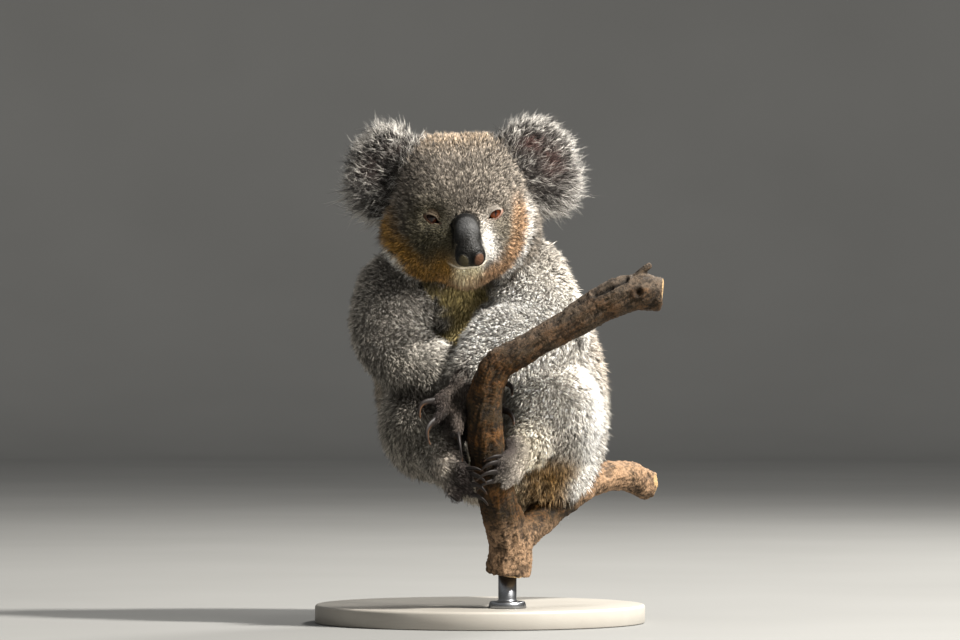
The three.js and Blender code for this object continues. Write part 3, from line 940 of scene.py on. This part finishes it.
def tuft_colours(name, roots, root, lock, fleck):
    """Dark at the root, the coat's own colour in the middle, and pale or dark at the tips, lock by
    lock."""
    mm, count = root / MM, len(root)
    colour = roots.of(skin_colour)
    vary = 0.3 if "_head" in name else 0.22
    own = rng.normal(0, 0.12, count) + rng.normal(0, vary, count)[lock] + 0.1 * lumps(mm, 5, 3.0)
    own = np.exp(own)[:, None]
    if "_ear_" in name:
        sunny = "left" in name
        middle = to_head(centre_of("ear_" + name.rsplit("_", 1)[1]))
        x, _, z = (to_head(root) - middle).T
        rim = smoothstep(0.6, 0.95, np.hypot(x / 40, z / 48))
        rim = (rim * (1 - 0.75 * smoothstep(8, 30, -np.sign(middle[0]) * x)))[:, None]
        strand = EAR_PALE * (0.8 if sunny else 1.15)
        pale = np.where(fleck < (0.25 if sunny else 0.36) + 0.4 * rim, 0.78 + 0.2 * rim, 0.02)
        tip = towards(colour, strand, pale)
        colour = towards(colour, strand, pale * 0.5) * np.where(pale < 0.1, 0.4, 1)
    else:
        free = 1 - roots.of(skin_calm)
        more = 0.05 * ("_head" in name or "_face" in name)
        dark = smoothstep(0.62, 0.68, fleck + more) * free
        light = smoothstep(0.40, 0.28, fleck) * free
        shine = (np.minimum(1, 1.7 * colour + 0.04) - colour) * 0.8 * light
        tip = colour * (1.36 - 1.12 * dark) + shine
        colour = colour * (1 - 0.6 * dark) * (1 + 0.2 * light)
    middle = colour * own * 0.9
    return np.stack([colour * 0.45, middle, middle, colour * own, tip * own], 1)


bark_tree = BVHTree.FromPolygons(perch_co.tolist(), perch_tri.tolist())
bark_box = perch_co.min(0) - 2 * MM, perch_co.max(0) + 2 * MM


def in_perch(points, margin):
    """Whether each point is inside the perch, or nearer to it than a margin."""
    result = np.zeros(len(points), bool)
    near = ((points > bark_box[0]) & (points < bark_box[1])).all(1)
    for i in np.nonzero(near)[0]:
        place, normal, _, gap = bark_tree.find_nearest(points[i], 30 * MM)
        if place is not None:
            result[i] = gap < margin * MM or (Vector(points[i]) - place).dot(normal) < 0
    return result


# Where the hairs differ from their part's: the middle, the reach and the strength, on the body and
# on the head.
FLUFF = [
    ((54, -126, 168), (20, 30, 30), 1.0),
    ((-40, -130, 158), (14, 26, 26), 0.6),
    ((-18, -146, 226), (14, 24, 30), 0.7),
]
SOLE = [((28, -140, 178), (9, 40, 10), 1.0), ((8, -140, 156), (8, 40, 12), 1.0)]
RUMP = ((60, -60, 128), (34, 50, 22))
EAR_FRINGE = [((108, 10, 18), (20, 30, 26), 1.0), ((-108, 10, 18), (20, 30, 26), 1.0)]
CHIN_HAIRS = ((-1, -70, -62), (15, 20, 8))
UPPER_LIP = ((0, -84, -44), (30, 20, 9))


def on(*parts):
    """Where the skin belongs to one of these kinds of part."""
    return np.isin(skin_part, parts)


def coat_fields():
    """Over the skin: how much it is face, how calm the hairs lie, how long they are, how steeply
    they stand, and the coat's colour."""
    mm = skin_co / MM
    x, y, z = skin_at.T
    head = on("head")
    face = face_share(skin_co) * head
    cheek = smoothstep(58, 72, np.abs(x)) * smoothstep(24, 4, z) * head
    chest = np.minimum(1, 1.5 * blob(mm, *CHEST_PATCH)) * on("trunk", "neck")
    chin = blob(skin_at, *CHIN_HAIRS) * head
    above = blob(skin_at, *UPPER_LIP) * head
    nape = smoothstep(0, 20, y) * smoothstep(6, -24, z) * smoothstep(-110, -80, z)
    nape = nape * on("head", "neck")
    crown = smoothstep(50, 74, z) * head
    rump = blob(mm, *RUMP) * on("trunk")
    fringe = blobs(skin_at, EAR_FRINGE) * on("ear")
    sole = np.minimum(1, 1.3 * blobs(mm, SOLE)) * on("foot")
    valley = ((averaged(skin_co, skin_edges, 60) - skin_co) * skin_normal).sum(1) / MM
    valley = smoothstep(0.4, 2.4, valley) * ~on("ear", "head") * (1 - 0.8 * chest)
    calm = np.clip(0.9 * chest + 0.4 * face + 0.8 * chin + 0.3 * on("hand", "foot"), 0, 0.9)
    length = averaged(regions.number(skin_label, 1), skin_edges, 10)
    length = length * (1 - 0.6 * face) * (1 + 0.6 * cheek)
    length = length * (1 - 0.45 * chest) * (1 - 0.6 * above) * (1 + 1.5 * chin)
    length = length * (1 + 0.7 * fringe) * (1 + 0.9 * nape) * (1 + 0.6 * rump)
    length = length + 4.5 * blobs(mm, FLUFF)
    length = length * (1 - 0.8 * sole) * (1 - 0.3 * valley)
    lift = averaged(regions.number(skin_label, 2), skin_edges, 10)
    lift = lift - 14 * face - 18 * chest + 7 * crown
    # painted shade: the coat and skin are darkened in the valleys between parts
    colour = averaged(markings_and_painted_light(skin_co, skin_part), skin_edges, 2) * (1 - 0.6 * valley)[:, None]
    return face, calm, length, lift, colour


skin_lie = lie_field()
skin_face, skin_calm, skin_length, skin_lift, skin_colour = coat_fields()
face_bald = bald()[skin_tri].max(1) > 0
face_piece = piece_names()[skin_tri[:, 0]]
face_weight = (1 + 1.2 * skin_face[skin_tri].mean(1)) * ~face_bald

# ---- Materials -----------------------------------------------------------------------------------


class Surface:
    """A material made of nodes round one principled shader."""

    def __init__(self, name, roughness, **sockets):
        self.material = bpy.data.materials.new(name)
        self.material.use_nodes = True
        self.nodes = self.material.node_tree.nodes
        self.links = self.material.node_tree.links
        self.shader = self.nodes["Principled BSDF"]
        self.shader.inputs["Roughness"].default_value = roughness
        for socket, value in sockets.items():
            self.shader.inputs[socket.replace("_", " ")].default_value = value

    def add(self, kind, **values):
        node = self.nodes.new(kind)
        for name, value in values.items():
            if name in node.inputs:
                node.inputs[name].default_value = value
            else:
                setattr(node, name, value)
        return node

    def painted(self, name="coat"):
        """The colours kept at the mesh's vertices."""
        return self.add("ShaderNodeVertexColor", layer_name=name).outputs["Color"]

    def noise(self, scale, detail=3.0, rough=0.6, stretch=(1, 1, 1)):
        """A noise in metres: scale is how many lumps there are to a metre."""
        place = self.add("ShaderNodeTexCoord").outputs["Object"]
        mapping = self.add("ShaderNodeMapping", Scale=stretch)
        self.links.new(place, mapping.inputs["Vector"])
        node = self.add("ShaderNodeTexNoise", Scale=scale, Detail=detail, Roughness=rough)
        self.links.new(mapping.outputs["Vector"], node.inputs["Vector"])
        return node.outputs["Fac"]

    def ramp(self, fac, low, high, stops=(0.3, 0.7)):
        """From one colour or grey to another."""
        node = self.add("ShaderNodeValToRGB")
        for element, place, shade in zip(node.color_ramp.elements, stops, (low, high)):
            element.position = place
            element.color = (*np.broadcast_to(shade, 3), 1)
        self.links.new(fac, node.inputs["Fac"])
        return node.outputs["Color"]

    def mixed(self, fac, a, b, how="MIX"):
        node = self.add("ShaderNodeMix", data_type="RGBA", blend_type=how)
        for name, value in (("Factor", fac), ("A", a), ("B", b)):
            self.put(value, [i for i in node.inputs if i.name == name and i.enabled][-1])
        return [o for o in node.outputs if o.enabled][0]

    def put(self, value, socket):
        if isinstance(value, bpy.types.NodeSocket):
            self.links.new(value, socket)
        elif np.ndim(value):
            socket.default_value = (*value, 1)
        else:
            socket.default_value = value

    def colour(self, value):
        self.put(value, self.shader.inputs["Base Color"])

    def grained(self, fac, low, high):
        """The vertices' colours, darkened and lightened by a grain."""
        self.colour(self.mixed(1.0, self.painted(), self.ramp(fac, low, high), "MULTIPLY"))

    def rough(self, fac, low, high):
        node = self.add("ShaderNodeMapRange", **{"To Min": low, "To Max": high})
        self.links.new(fac, node.inputs["Value"])
        self.links.new(node.outputs["Result"], self.shader.inputs["Roughness"])

    def bump(self, *layers):
        """Each layer is a height between 0 and 1 and how deep it is, in metres."""
        below = None
        for fac, depth in layers:
            node = self.add("ShaderNodeBump", Strength=1.0, Distance=depth)
            self.links.new(fac, node.inputs["Height"])
            if below is not None:
                self.links.new(below, node.inputs["Normal"])
            below = node.outputs["Normal"]
        self.links.new(below, self.shader.inputs["Normal"])


def fur_material():
    m = Surface("fur", 0.62, Specular_IOR_Level=0.35)
    grain = m.noise(900, 2)
    m.grained(grain, 0.82, 1.12)
    m.rough(grain, 0.5, 0.75)
    return m.material


def skin_material():
    m = Surface("under_fur", 0.85, Specular_IOR_Level=0.2)
    fine = m.noise(1400, 4, stretch=(1, 1, 0.3))
    m.grained(fine, 0.6, 1.15)
    m.bump((fine, 0.0012), (m.noise(300, 3), 0.001))
    return m.material


def nose_material():
    m = Surface("nose_leather", 0.5, Specular_IOR_Level=0.22)
    pores = m.add("ShaderNodeTexVoronoi", Scale=900.0, feature="SMOOTH_F1")
    m.links.new(m.add("ShaderNodeTexCoord").outputs["Object"], pores.inputs["Vector"])
    specks = m.ramp(m.noise(1500, 2), 0.0, 0.3, (0.66, 0.74))
    m.colour(m.mixed(specks, m.painted(), NOSE_SPECK))
    m.rough(m.noise(500, 3), 0.42, 0.62)
    m.bump((pores.outputs["Distance"], 0.0005), (m.noise(260, 3), 0.0006))
    return m.material


def eye_material():
    m = Surface("eye", 0.16, Specular_IOR_Level=0.3, Coat_Weight=0.2, Coat_Roughness=0.05)
    m.grained(m.noise(1500, 2), 0.85, 1.15)
    return m.material


def claw_material():
    m = Surface("claw_horn", 0.5, Specular_IOR_Level=0.25)
    streak = m.noise(900, 3, stretch=(1, 1, 0.25))
    m.grained(streak, 0.75, 1.25)
    m.rough(streak, 0.42, 0.58)
    m.bump((streak, 0.0002))
    return m.material


def bark_material():
    m = Surface("bark", 0.85, Specular_IOR_Level=0.25)
    fine = m.noise(700, 5, 0.7)
    cracks = m.noise(220, 4, 0.65)
    m.grained(fine, 0.5, 1.4)
    m.rough(cracks, 0.7, 0.95)
    m.bump((cracks, 0.0016), (fine, 0.0009))
    return m.material


def board_material():
    m = Surface("board", 0.5, Specular_IOR_Level=0.4)
    m.colour(m.ramp(m.noise(9, 4), *BOARD))
    m.rough(m.noise(60, 4), 0.42, 0.58)
    m.bump((m.noise(900, 3), 0.0001))
    return m.material


def metal_material():
    m = Surface("brushed_metal", 0.32, Metallic=1.0)
    brushed = m.noise(500, 3, stretch=(1, 1, 8))
    m.colour(m.ramp(brushed, *METAL))
    m.rough(brushed, 0.26, 0.42)
    m.bump((brushed, 0.00006))
    return m.material


def floor_material():
    m = Surface("paper", 0.9, Specular_IOR_Level=0.1)
    m.colour(m.ramp(m.noise(2, 2), *PAPER))
    return m.material


# ---- Separate pieces of the body -----------------------------------------------------------------

EYE_ROWS = 72
EYE_SHADE = {"left": 1.0, "right": 0.1}  # painted shade: the right eye is painted darker, as if in shadow
IRIS_RADIUS = 6.1
PUPIL = (0.9, 3.4)  # half the width and half the height of its slit
NOSE_ROWS = 150
NOSE_MIDDLE = (-1, -76, -22)
# The rounded forms of the nose in the head's own axes: middle and radii.
NOSE_FORMS = [
    ((-1, -66, -10), (12.5, 11, 11.5)),
    ((-0.6, -79, -23), (13.4, 11, 17)),
    ((0.4, -87, -37), (11.4, 9, 11)),
    ((-6.6, -84, -42.5), (6.6, 8, 8)),
    ((8.4, -84, -42.5), (6.8, 8, 8)),
]
CLAW_ROWS, CLAW_SIDES = 22, 16


def circle(sides):
    return np.linspace(0, 2 * math.pi, sides, endpoint=False)


def stitched(rows, first, last):
    """A closed form from rings of points, each end closed by a fan about a point."""
    count, sides = rows.shape[:2]
    co = np.concatenate([rows.reshape(-1, 3), [first, last]])
    j = np.arange(sides)
    k = (j + 1) % sides
    faces = []
    for a in range(0, (count - 1) * sides, sides):
        b = a + sides
        faces += [np.stack([a + j, a + k, b + k], 1), np.stack([a + j, b + k, b + j], 1)]
    end = (count - 1) * sides
    faces += [np.stack([k, j, np.full(sides, len(co) - 2)], 1)]
    faces += [np.stack([end + j, end + k, np.full(sides, len(co) - 1)], 1)]
    return co, np.concatenate(faces)


def turned(profile, sides, centre):
    """A closed form turned about an upright axis. The profile runs from the bottom to the top."""
    ring = np.stack([np.cos(circle(sides)), np.sin(circle(sides))], 1)
    rows = np.array([np.c_[ring * r, np.full(sides, z)] for r, z in profile])
    ends = np.array([(0, 0, profile[i][1]) for i in (0, -1)])
    return stitched(rows + centre, *(ends + centre))


def swept(line, radii, sides, flat, across):
    """A closed rod along a line of points, flattened along the way across."""
    along = unit(np.gradient(line, axis=0))
    side = unit(across - along * (along * across).sum(1, keepdims=True))
    up = np.cross(along, side)
    angle = circle(sides)[None, :, None]
    spread = np.cos(angle) * side[:, None] * flat + np.sin(angle) * up[:, None]
    return stitched(line[:, None] + spread * radii[:, None, None], line[0], line[-1])


def make_eye(side):
    """A ball whose front carries the iris and its slit."""
    sign = SIDES[side]
    down = np.linspace(0, math.pi, EYE_ROWS)
    profile = [(max(math.sin(t), 0.004) * EYE_RADIUS, -math.cos(t) * EYE_RADIUS) for t in down]
    local, faces = turned(profile, EYE_ROWS, np.zeros(3))
    # the ball's own z is its line of sight
    sight = unit(np.array([sign * 0.10, -1, -0.10]))
    first = unit(np.cross([0, 0, 1.0], sight))
    axes = np.stack([first, np.cross(sight, first), sight])
    ob = object_from(f"eye_ball_{side}", from_head(eye_middle(sign) + local @ axes), faces)
    x, y, z = local.T
    radius, angle = np.hypot(x, y), np.arctan2(y, x)
    fibres = np.sin(angle * 37 + 3 * np.sin(radius * 2)) * np.sin(angle * 13 + radius)
    light = (0.75 + 0.35 * fibres) * (0.7 + 0.6 * smoothstep(1.5, 4.6, radius))
    colour = towards(IRIS * light[:, None], IRIS_RIM, smoothstep(5.2, 6.0, radius))
    slit = np.hypot(x / PUPIL[0], y / PUPIL[1])
    colour = colour * smoothstep(0.8, 1.1, slit)[:, None] + 0.004
    # painted shadow of the upper lid over the top of the iris
    colour = colour * (1 - 0.7 * smoothstep(-2.2, 0.8, y))[:, None]
    colour = np.where(((z > 0) & (radius < IRIS_RADIUS))[:, None], colour, EYE_BROWN)
    painted(ob, colour * EYE_SHADE[side])
    return finished(ob, eye_surface, "eye", f"eye_{side}")


def ball(points, centre, radii):
    """Negative inside an ellipsoid, near the distance from its surface."""
    scaled = (points - np.array(centre)) / np.array(radii)
    near = np.linalg.norm(scaled, axis=1)
    slope = np.maximum(np.linalg.norm(scaled / np.array(radii), axis=1), 1e-9)
    return near * (near - 1) / slope


def joined(width, first, *others):
    """Forms that run into each other over a width."""
    total = first
    for other in others:
        h = np.maximum(width - np.abs(total - other), 0) / width
        total = np.minimum(total, other) - h * h * width / 4
    return total


def nose_field(at):
    return joined(9, *(ball(at, *form) for form in NOSE_FORMS))


def make_nose():
    """The bare leather of the nose, with its nostrils."""
    middle = np.array(NOSE_MIDDLE)
    profile = [(max(math.sin(t), 0.002), -math.cos(t)) for t in np.linspace(0, math.pi, NOSE_ROWS)]
    rays, faces = turned(profile, NOSE_ROWS, np.zeros(3))
    rays = unit(rays)
    # each ray runs out until it leaves the nose, found by halving
    inside, outside = np.zeros(len(rays)), np.full(len(rays), 60.0)
    for _ in range(26):
        half = (inside + outside) / 2
        out = nose_field(middle + rays * half[:, None]) > 0
        outside = np.where(out, half, outside)
        inside = np.where(out, inside, half)
    at = middle + rays * inside[:, None]
    normal = vertex_normals(at, faces)
    x, z = at[:, 0] + 0.8, at[:, 2]
    front = smoothstep(0.2, -0.4, normal[:, 1])
    pad, fold = np.zeros(len(at)), np.zeros(len(at))
    for s in (1, -1):
        around = np.hypot((x - 1.6 - s * 7.6) / 5.0, (z + 45.2 - 0.3 * (s * x - 8)) / 6.2)
        pad += smoothstep(1.1, 0.7, around)
        fold += ridge(around - 1.2, 0.16) * smoothstep(-50, -44, z)
    notch = ridge(x - 1.6, 1.3 + 0.1 * np.maximum(z + 50, 0))
    notch = notch * smoothstep(-36, -43, z)
    pebble = 0.11 * lumps(at, 1.1, 2.0) + 0.09 * lumps(at, 0.6, 6.0)
    at = at + normal * (front * (pebble + 0.5 * pad - 0.5 * fold - 1.6 * notch))[:, None]
    ob = object_from("nose_leather", from_head(at), faces)
    # darker towards the bottom: partly the leather's own dark lower part, partly painted light from above
    # on the top
    colour = towards(NOSE, NOSE_LOW, smoothstep(-10, -27, z + 1.5 * lumps(at, 4.0, 1.0)))
    colour = colour * (1 + 0.16 * lumps(at, 2.2, 1.0))[:, None]
    nostril = np.where((x > 0)[:, None], NOSTRIL, NOSTRIL_OLIVE)
    colour = towards(colour, nostril, 0.8 * pad * front)
    # painted shade in the notch between the nostrils and in the folds round them
    colour = colour * (1 - 0.85 * np.clip((notch + fold) * front, 0, 1))[:, None]
    arch = np.hypot(x, np.maximum(z + 13.5, 0))
    rim = smoothstep(10.0, 11.8, arch) * smoothstep(-40, -26, z)
    painted(ob, towards(colour, NOSE_RIM, 0.95 * rim))
    return finished(ob, nose_surface, "nose_skin", "nose")


def make_claw(name):
    """A smooth curved claw through the ends of the solid one."""
    co, _ = arrays(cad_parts[name].data)
    paw = centre_of(name.split("_claw_")[0])
    away = unit(co.mean(0) - paw)
    axis = np.linalg.svd(co - co.mean(0), full_matrices=False)[2][0]
    axis = axis * np.sign(axis @ away)
    share = (co - co.mean(0)) @ axis
    spread = (share - share.min()) / (share.max() - share.min())
    base = co[spread < 0.22].mean(0)
    tip = co[spread > 0.93].mean(0)
    middle = co[(spread > 0.36) & (spread < 0.72)]
    middle = middle.mean(0) if len(middle) else (base + tip) / 2
    bulge = middle - (base + tip) / 2
    t = np.linspace(-0.12, 1, CLAW_ROWS)
    out = np.clip(t, 0, 1)
    bent = bulge * (4 * 1.15 * t * (1 - t))[:, None]
    line = base + (tip - base) * t[:, None] + bent
    radii = (0.35 + 3.1 * np.sqrt(1 - out) * (1 - 0.3 * out)) * MM
    plane = unit(np.cross(tip - base, bulge + 1e-6))
    co, faces = swept(line, radii, CLAW_SIDES, 0.62, plane)
    ob = object_from(name.replace("_claw_", "_horn_"), co, faces)
    rows = np.repeat(np.arange(CLAW_ROWS), CLAW_SIDES)
    around = unit(co[: len(rows)] - line[rows])
    under = np.r_[smoothstep(0.0, 0.9, around @ -unit(bulge)), 0, 0.5]
    far = np.r_[t[rows], 0, 1]
    amber = 0.5 * under * smoothstep(0.1, 0.6, far) + 0.3 * smoothstep(0.8, 1, far)
    painted(ob, towards(CLAW, CLAW_AMBER, amber))
    return finished(ob, claw_surface, "claw", name)


# ---- Perch and stand -----------------------------------------------------------------------------

SEAT_WAY = (24, 30, -10)  # which way the sawn end of the side limb faces
CLEFT = (111, 326), (142, 341)  # x and z of both ends of the cleft that runs up to the twig
HOLLOW = (153.7, 329)  # x and z of the hollow of a lost twig
STAND_SIDES, ROD_SIDES = 160, 96


def streaks(co):
    """A fine random value that runs on along the branch."""
    line = [centre_of(f"perch_{part}") for part in ("fork", "stem", "elbow", "branch")]
    seat = centre_of("perch_seat")
    legs = [(line[i] + line[i + 1]) / 2 for i in range(3)] + [seat]
    ways = [line[i + 1] - line[i] for i in range(3)] + [seat - line[0]]
    gap = np.linalg.norm(co[:, None] - np.array(legs), axis=2)
    weight = np.exp(-gap / 0.03)[:, :, None]
    way = unit((weight * unit(np.array(ways))).sum(1) / weight.sum(1))
    total = np.zeros(len(co))
    for step in (-7, -3.5, 0, 3.5, 7):
        total += [noise.noise(Vector(p * 420)) for p in co + way * step * MM]
    return total / 2.2


def fractal(scale, shift, *shape):
    """A fractal noise over the perch, with this many lumps to a metre. The shape is how fast its
    octaves fade, how much finer each is than the last, and how many there are."""
    return np.array([noise.fractal(Vector(p * scale + shift), *shape) for p in perch_co])


def sawn_ends(mm, normal):
    """1 on the three sawn ends of the perch."""
    foot, seat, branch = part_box("perch_fork")[0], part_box("perch_seat")[1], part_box("perch_branch")[1]
    at_foot = smoothstep(1.5, 0.8, mm[:, 2] - foot[2] / MM) * (normal[:, 2] < -0.7)
    at_branch = (mm[:, 0] > branch[0] / MM - 2.5) * (normal[:, 0] > 0.75)
    at_seat = (mm[:, 1] > seat[1] / MM - 16) & (normal @ unit(np.array(SEAT_WAY)) > 0.8)
    return np.maximum(np.maximum(at_foot, at_branch), at_seat)


def make_perch():
    """The cut branch: bark with swellings and cracks, greyer on top where light from above is painted on,
    and sawn ends.
    """
    normal = vertex_normals(perch_co, perch_tri)
    mm = perch_co / MM
    sawn = sawn_ends(mm, normal)
    grain = streaks(perch_co)
    rise = fractal(110, (0, 0, 0), 0.9, 2.1, 4)
    knots = fractal(28, (5, 0, 0), 0.8, 2.0, 2)
    spots = fractal(340, (0, 7, 0), 0.7, 2.1, 3)
    large = fractal(40, (0, 0, 3), 0.8, 2.0, 3)
    # the cleft, and the hollow with its raised ring
    start, end = np.array(CLEFT, float)
    flat = mm[:, [0, 2]]
    share = np.clip((flat - start) @ (end - start) / ((end - start) @ (end - start)), 0, 1)
    cleft = np.linalg.norm(flat - start - share[:, None] * (end - start), axis=1) + 0.8 * knots
    hollow = np.linalg.norm(flat - HOLLOW, axis=1)
    facing = smoothstep(0.1, -0.3, normal[:, 1]) * smoothstep(0, 1, 1 - sawn)
    deep = ridge(cleft, 1.9) + ridge(hollow, 2.9)
    deep = np.clip(deep, 0, 1) * facing
    proud = ridge(cleft - 4.2, 1.6) + ridge(hollow - 5.6, 1.6)
    height = 0.8 * rise + 1.2 * grain + 1.5 * knots - 4.5 * deep + 1.5 * proud * facing
    co = perch_co + normal * (height * MM * (1 - sawn))[:, None]

    warm = smoothstep(-0.2, 0.6, 0.5 * large + 0.6 * spots + 0.3 * grain)
    dark = smoothstep(0.0, 0.6, 0.6 * spots - 0.4 * large - 0.7 * grain)
    high = smoothstep(250, 285, mm[:, 2])
    # painted light: the upward faces of the high limb are painted greyer and paler, as if lit from above
    grey = smoothstep(0.15, 0.8, normal[:, 2]) * high + 0.35 * high
    low = smoothstep(86, 112, mm[:, 0]) * (mm[:, 2] < 200)
    low = np.maximum(smoothstep(112, 84, mm[:, 2]), low)
    low = low * smoothstep(-0.9, 0.3, 0.9 * spots + 0.5 * large)
    crack = smoothstep(0.05, -0.3, 0.7 * rise + 0.6 * grain)
    colour = towards(towards(BARK, BARK_ORANGE, 0.55 * warm), BARK_DARK, 0.75 * dark)
    colour = towards(colour, BARK_GREY, 0.7 * np.clip(grey + 0.35 * spots, 0, 1))
    colour = towards(colour, BARK_PALE, 0.75 * low)
    # painted shade: darker in the cleft and the hollow; the cracks are darker partly in the bark's own
    # colour and partly as painted shade
    colour = colour * ((1 - 0.6 * crack) * (1 - 0.9 * deep))[:, None]
    rings = np.zeros(len(co))
    for end_of in (mm[:, 2] < 60, mm[:, 0] > 170):
        face = end_of & (sawn > 0.5)
        rings[face] = np.linalg.norm(mm[face] - mm[face].mean(0), axis=1)
    wood = 1 + 0.14 * np.sin(rings * 3.1 + 1.5 * large)
    wood = wood * (1 - 0.55 * smoothstep(13, 16, rings))
    ob = object_from("perch_bark", co, perch_tri)
    painted(ob, towards(colour, WOOD * wood[:, None], sawn))
    return finished(ob, bark_surface, "bark", *PERCH)


def make_stand():
    """A round board and one rod with a collar."""
    low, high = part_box("stand_base")
    radius, top, bevel, edge = high.x, high.z, 3 * MM, 0.8 * MM
    profile = [(radius * 0.5, 0), (radius - edge, 0), (radius, edge)]
    for t in np.linspace(0, math.pi / 2, 8):
        round_in, round_up = bevel * math.cos(t), bevel * math.sin(t)
        profile.append((radius - bevel + round_in, top - bevel + round_up))
    profile.append((radius * 0.5, top))
    board = object_from("stand_board", *turned(profile, STAND_SIDES, np.zeros(3)))
    low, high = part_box("stand_rod")
    middle = np.array([(low.x + high.x) / 2, (low.y + high.y) / 2, low.z])
    wide, thick = (high.x - low.x) / 2 / MM, 9
    collar = [(wide - 0.6, 0), (wide, 0.6), (wide - 1.2, 5), (wide - 2.4, 6.6)]
    collar += [(thick + 1.6, 7), (thick + 0.3, 7.6), (thick, 8.6), (thick, (high.z - low.z) / MM)]
    rod = object_from("stand_bar", *turned(np.array(collar) * MM, ROD_SIDES, middle))
    finished(board, board_surface, "stand_board", "stand_base")
    finished(rod, metal_surface, "stand_metal", "stand_rod")


# ---- All the pieces ------------------------------------------------------------------------------

LID_SHADE = {1: 1.0, -1: np.array([0.26, 0.22, 0.17])}  # painted shade: the right eye's lids are painted darker too


def skin_shades():
    """The coat's colours, darker, with the lids, the rim of the nose and the lips."""
    x, y, z = skin_at.T
    shown = skin_colour * 0.6
    face_side = y < -30
    for side in (1, -1):
        along, over, rim = eye_place(skin_at, side)
        spread = from_eye(skin_at, side)
        lid = towards(LID, LID_PALE, smoothstep(-1.5, 1.5, over))
        lid = towards(lid, LID_BROWN, smoothstep(-4, -10, along) * 0.9) * LID_SHADE[side]
        upper = smoothstep(10, 9, spread) * smoothstep(-0.5, 0.5, over)
        upper = upper * smoothstep(8.2, 7.2, np.abs(along - 1))
        shown = towards(shown, lid, np.maximum(upper, smoothstep(1.75, 1.45, rim)) * face_side)
        # painted shade in the crease over each eye
        crease = ridge(spread - 9.6, 0.6) * smoothstep(0, 4, over) * face_side
        shown = shown * (1 - 0.7 * crease)[:, None]
        shown = towards(shown, EYE_BROWN, smoothstep(1.17, 1.05, rim) * face_side)
    dark_rim = smoothstep(4.0, 1.5, nose_field(skin_at)) * smoothstep(-42, -24, z) * (y < -40)
    shown = towards(shown, NOSE_RIM, 0.95 * dark_rim)
    lips = ridge(z - mouth_line(x) + 1.8, 1.5)
    lips = lips * smoothstep(23, 14, np.abs(x)) * smoothstep(-48, -60, y)
    return towards(shown, LIP, lips)


fur_surface, under_surface, nose_surface = fur_material(), skin_material(), nose_material()
eye_surface, claw_surface, bark_surface = eye_material(), claw_material(), bark_material()
board_surface, metal_surface = board_material(), metal_material()

skin = object_from("koala_skin", skin_co, skin_tri)
painted(skin, skin_shades())
finished(skin, under_surface, "grey_fur", *FLESH)

for name, count in COAT_PIECES.items():
    own = np.nonzero((face_piece == name) & (face_weight > 0))[0]
    coat = tufts(name, Roots(own, count))
    finished(coat, fur_surface, "ear_fur" if "_ear_" in name else "grey_fur")

make_nose()
for side in SIDES:
    make_eye(side)
for name in CLAWS:
    make_claw(name)
make_perch()
make_stand()

# ---- Floor, light and camera, in metres ----------------------------------------------------------

FLAT_TO, BEND, WALL_TOP = 7.0, 2.0, 4.5  # how far out the floor is flat, its bend, and its wall
# Where each light stands, its power in watts, size and colour, and whether shiny things show it.
LIGHTS = {
    "key": ((2.4, -1.5, 3.1), 560, 0.4, (1.0, 0.965, 0.91), True),
    "low": ((3.0, -2.3, 0.7), 190, 0.9, (1.0, 0.97, 0.93), False),
    "rim": ((1.4, 2.2, 2.2), 120, 0.8, (1.0, 0.97, 0.92), True),
    "fill": ((-2.8, -3.4, 1.4), 26, 2.6, (1.0, 0.99, 0.97), False),
}
LIT = (0, 0, 0.28)  # what every light is turned towards
CAMERA_PLACE, CAMERA_LENS, CAMERA_SENSOR = (0, -6, 0.302), 225, 36  # the lens and sensor in mm
SKY, SKY_STRENGTH = (0.98, 0.99, 1.0, 1), 0.40


def make_stage():
    """A pale paper floor that curves up into a low wall all round, beyond the camera."""
    line = [(0.01, 0.0), (3.0, 0.0), (FLAT_TO, 0.0)]
    for t in np.linspace(0, math.pi / 2, 20)[1:]:
        line.append((FLAT_TO + BEND * math.sin(t), BEND - BEND * math.cos(t)))
    line.append((FLAT_TO + BEND, WALL_TOP))
    sides = 96
    co = [(r * math.cos(a), r * math.sin(a), z - 0.0005) for r, z in line for a in circle(sides)]
    j = np.arange(sides)
    k = (j + 1) % sides
    rows = [i * sides for i in range(len(line) - 1)]
    faces = [np.stack([a + j, a + k, a + sides + k, a + sides + j], 1) for a in rows]
    ob = object_from("paper_sweep", np.array(co), np.concatenate(faces))
    ob.data.materials.append(floor_material())


def area_light(name, place, power, size, colour, shows):
    light = bpy.data.lights.new(name, "AREA")
    light.shape = "DISK"
    light.energy, light.size, light.color = power, size, colour
    ob = bpy.data.objects.new(name, light)
    ob.location = place
    ob.rotation_euler = (Vector(LIT) - Vector(place)).to_track_quat("-Z", "Y").to_euler()
    ob.visible_glossy = shows
    bpy.context.scene.collection.objects.link(ob)


make_stage()
for name, values in LIGHTS.items():
    area_light(name, *values)
world = bpy.data.worlds.new("studio")
world.use_nodes = True
world.node_tree.nodes["Background"].inputs["Color"].default_value = SKY
world.node_tree.nodes["Background"].inputs["Strength"].default_value = SKY_STRENGTH
bpy.context.scene.world = world

camera = bpy.data.objects.new("camera", bpy.data.cameras.new("camera"))
camera.data.lens, camera.data.sensor_width = CAMERA_LENS, CAMERA_SENSOR
camera.data.clip_end = 50
camera.location = CAMERA_PLACE
camera.rotation_euler = (math.pi / 2, 0, 0)
bpy.context.scene.collection.objects.link(camera)
bpy.context.scene.camera = camera
bpy.context.scene.view_settings.view_transform = "Standard"

bpy.context.view_layer.update()
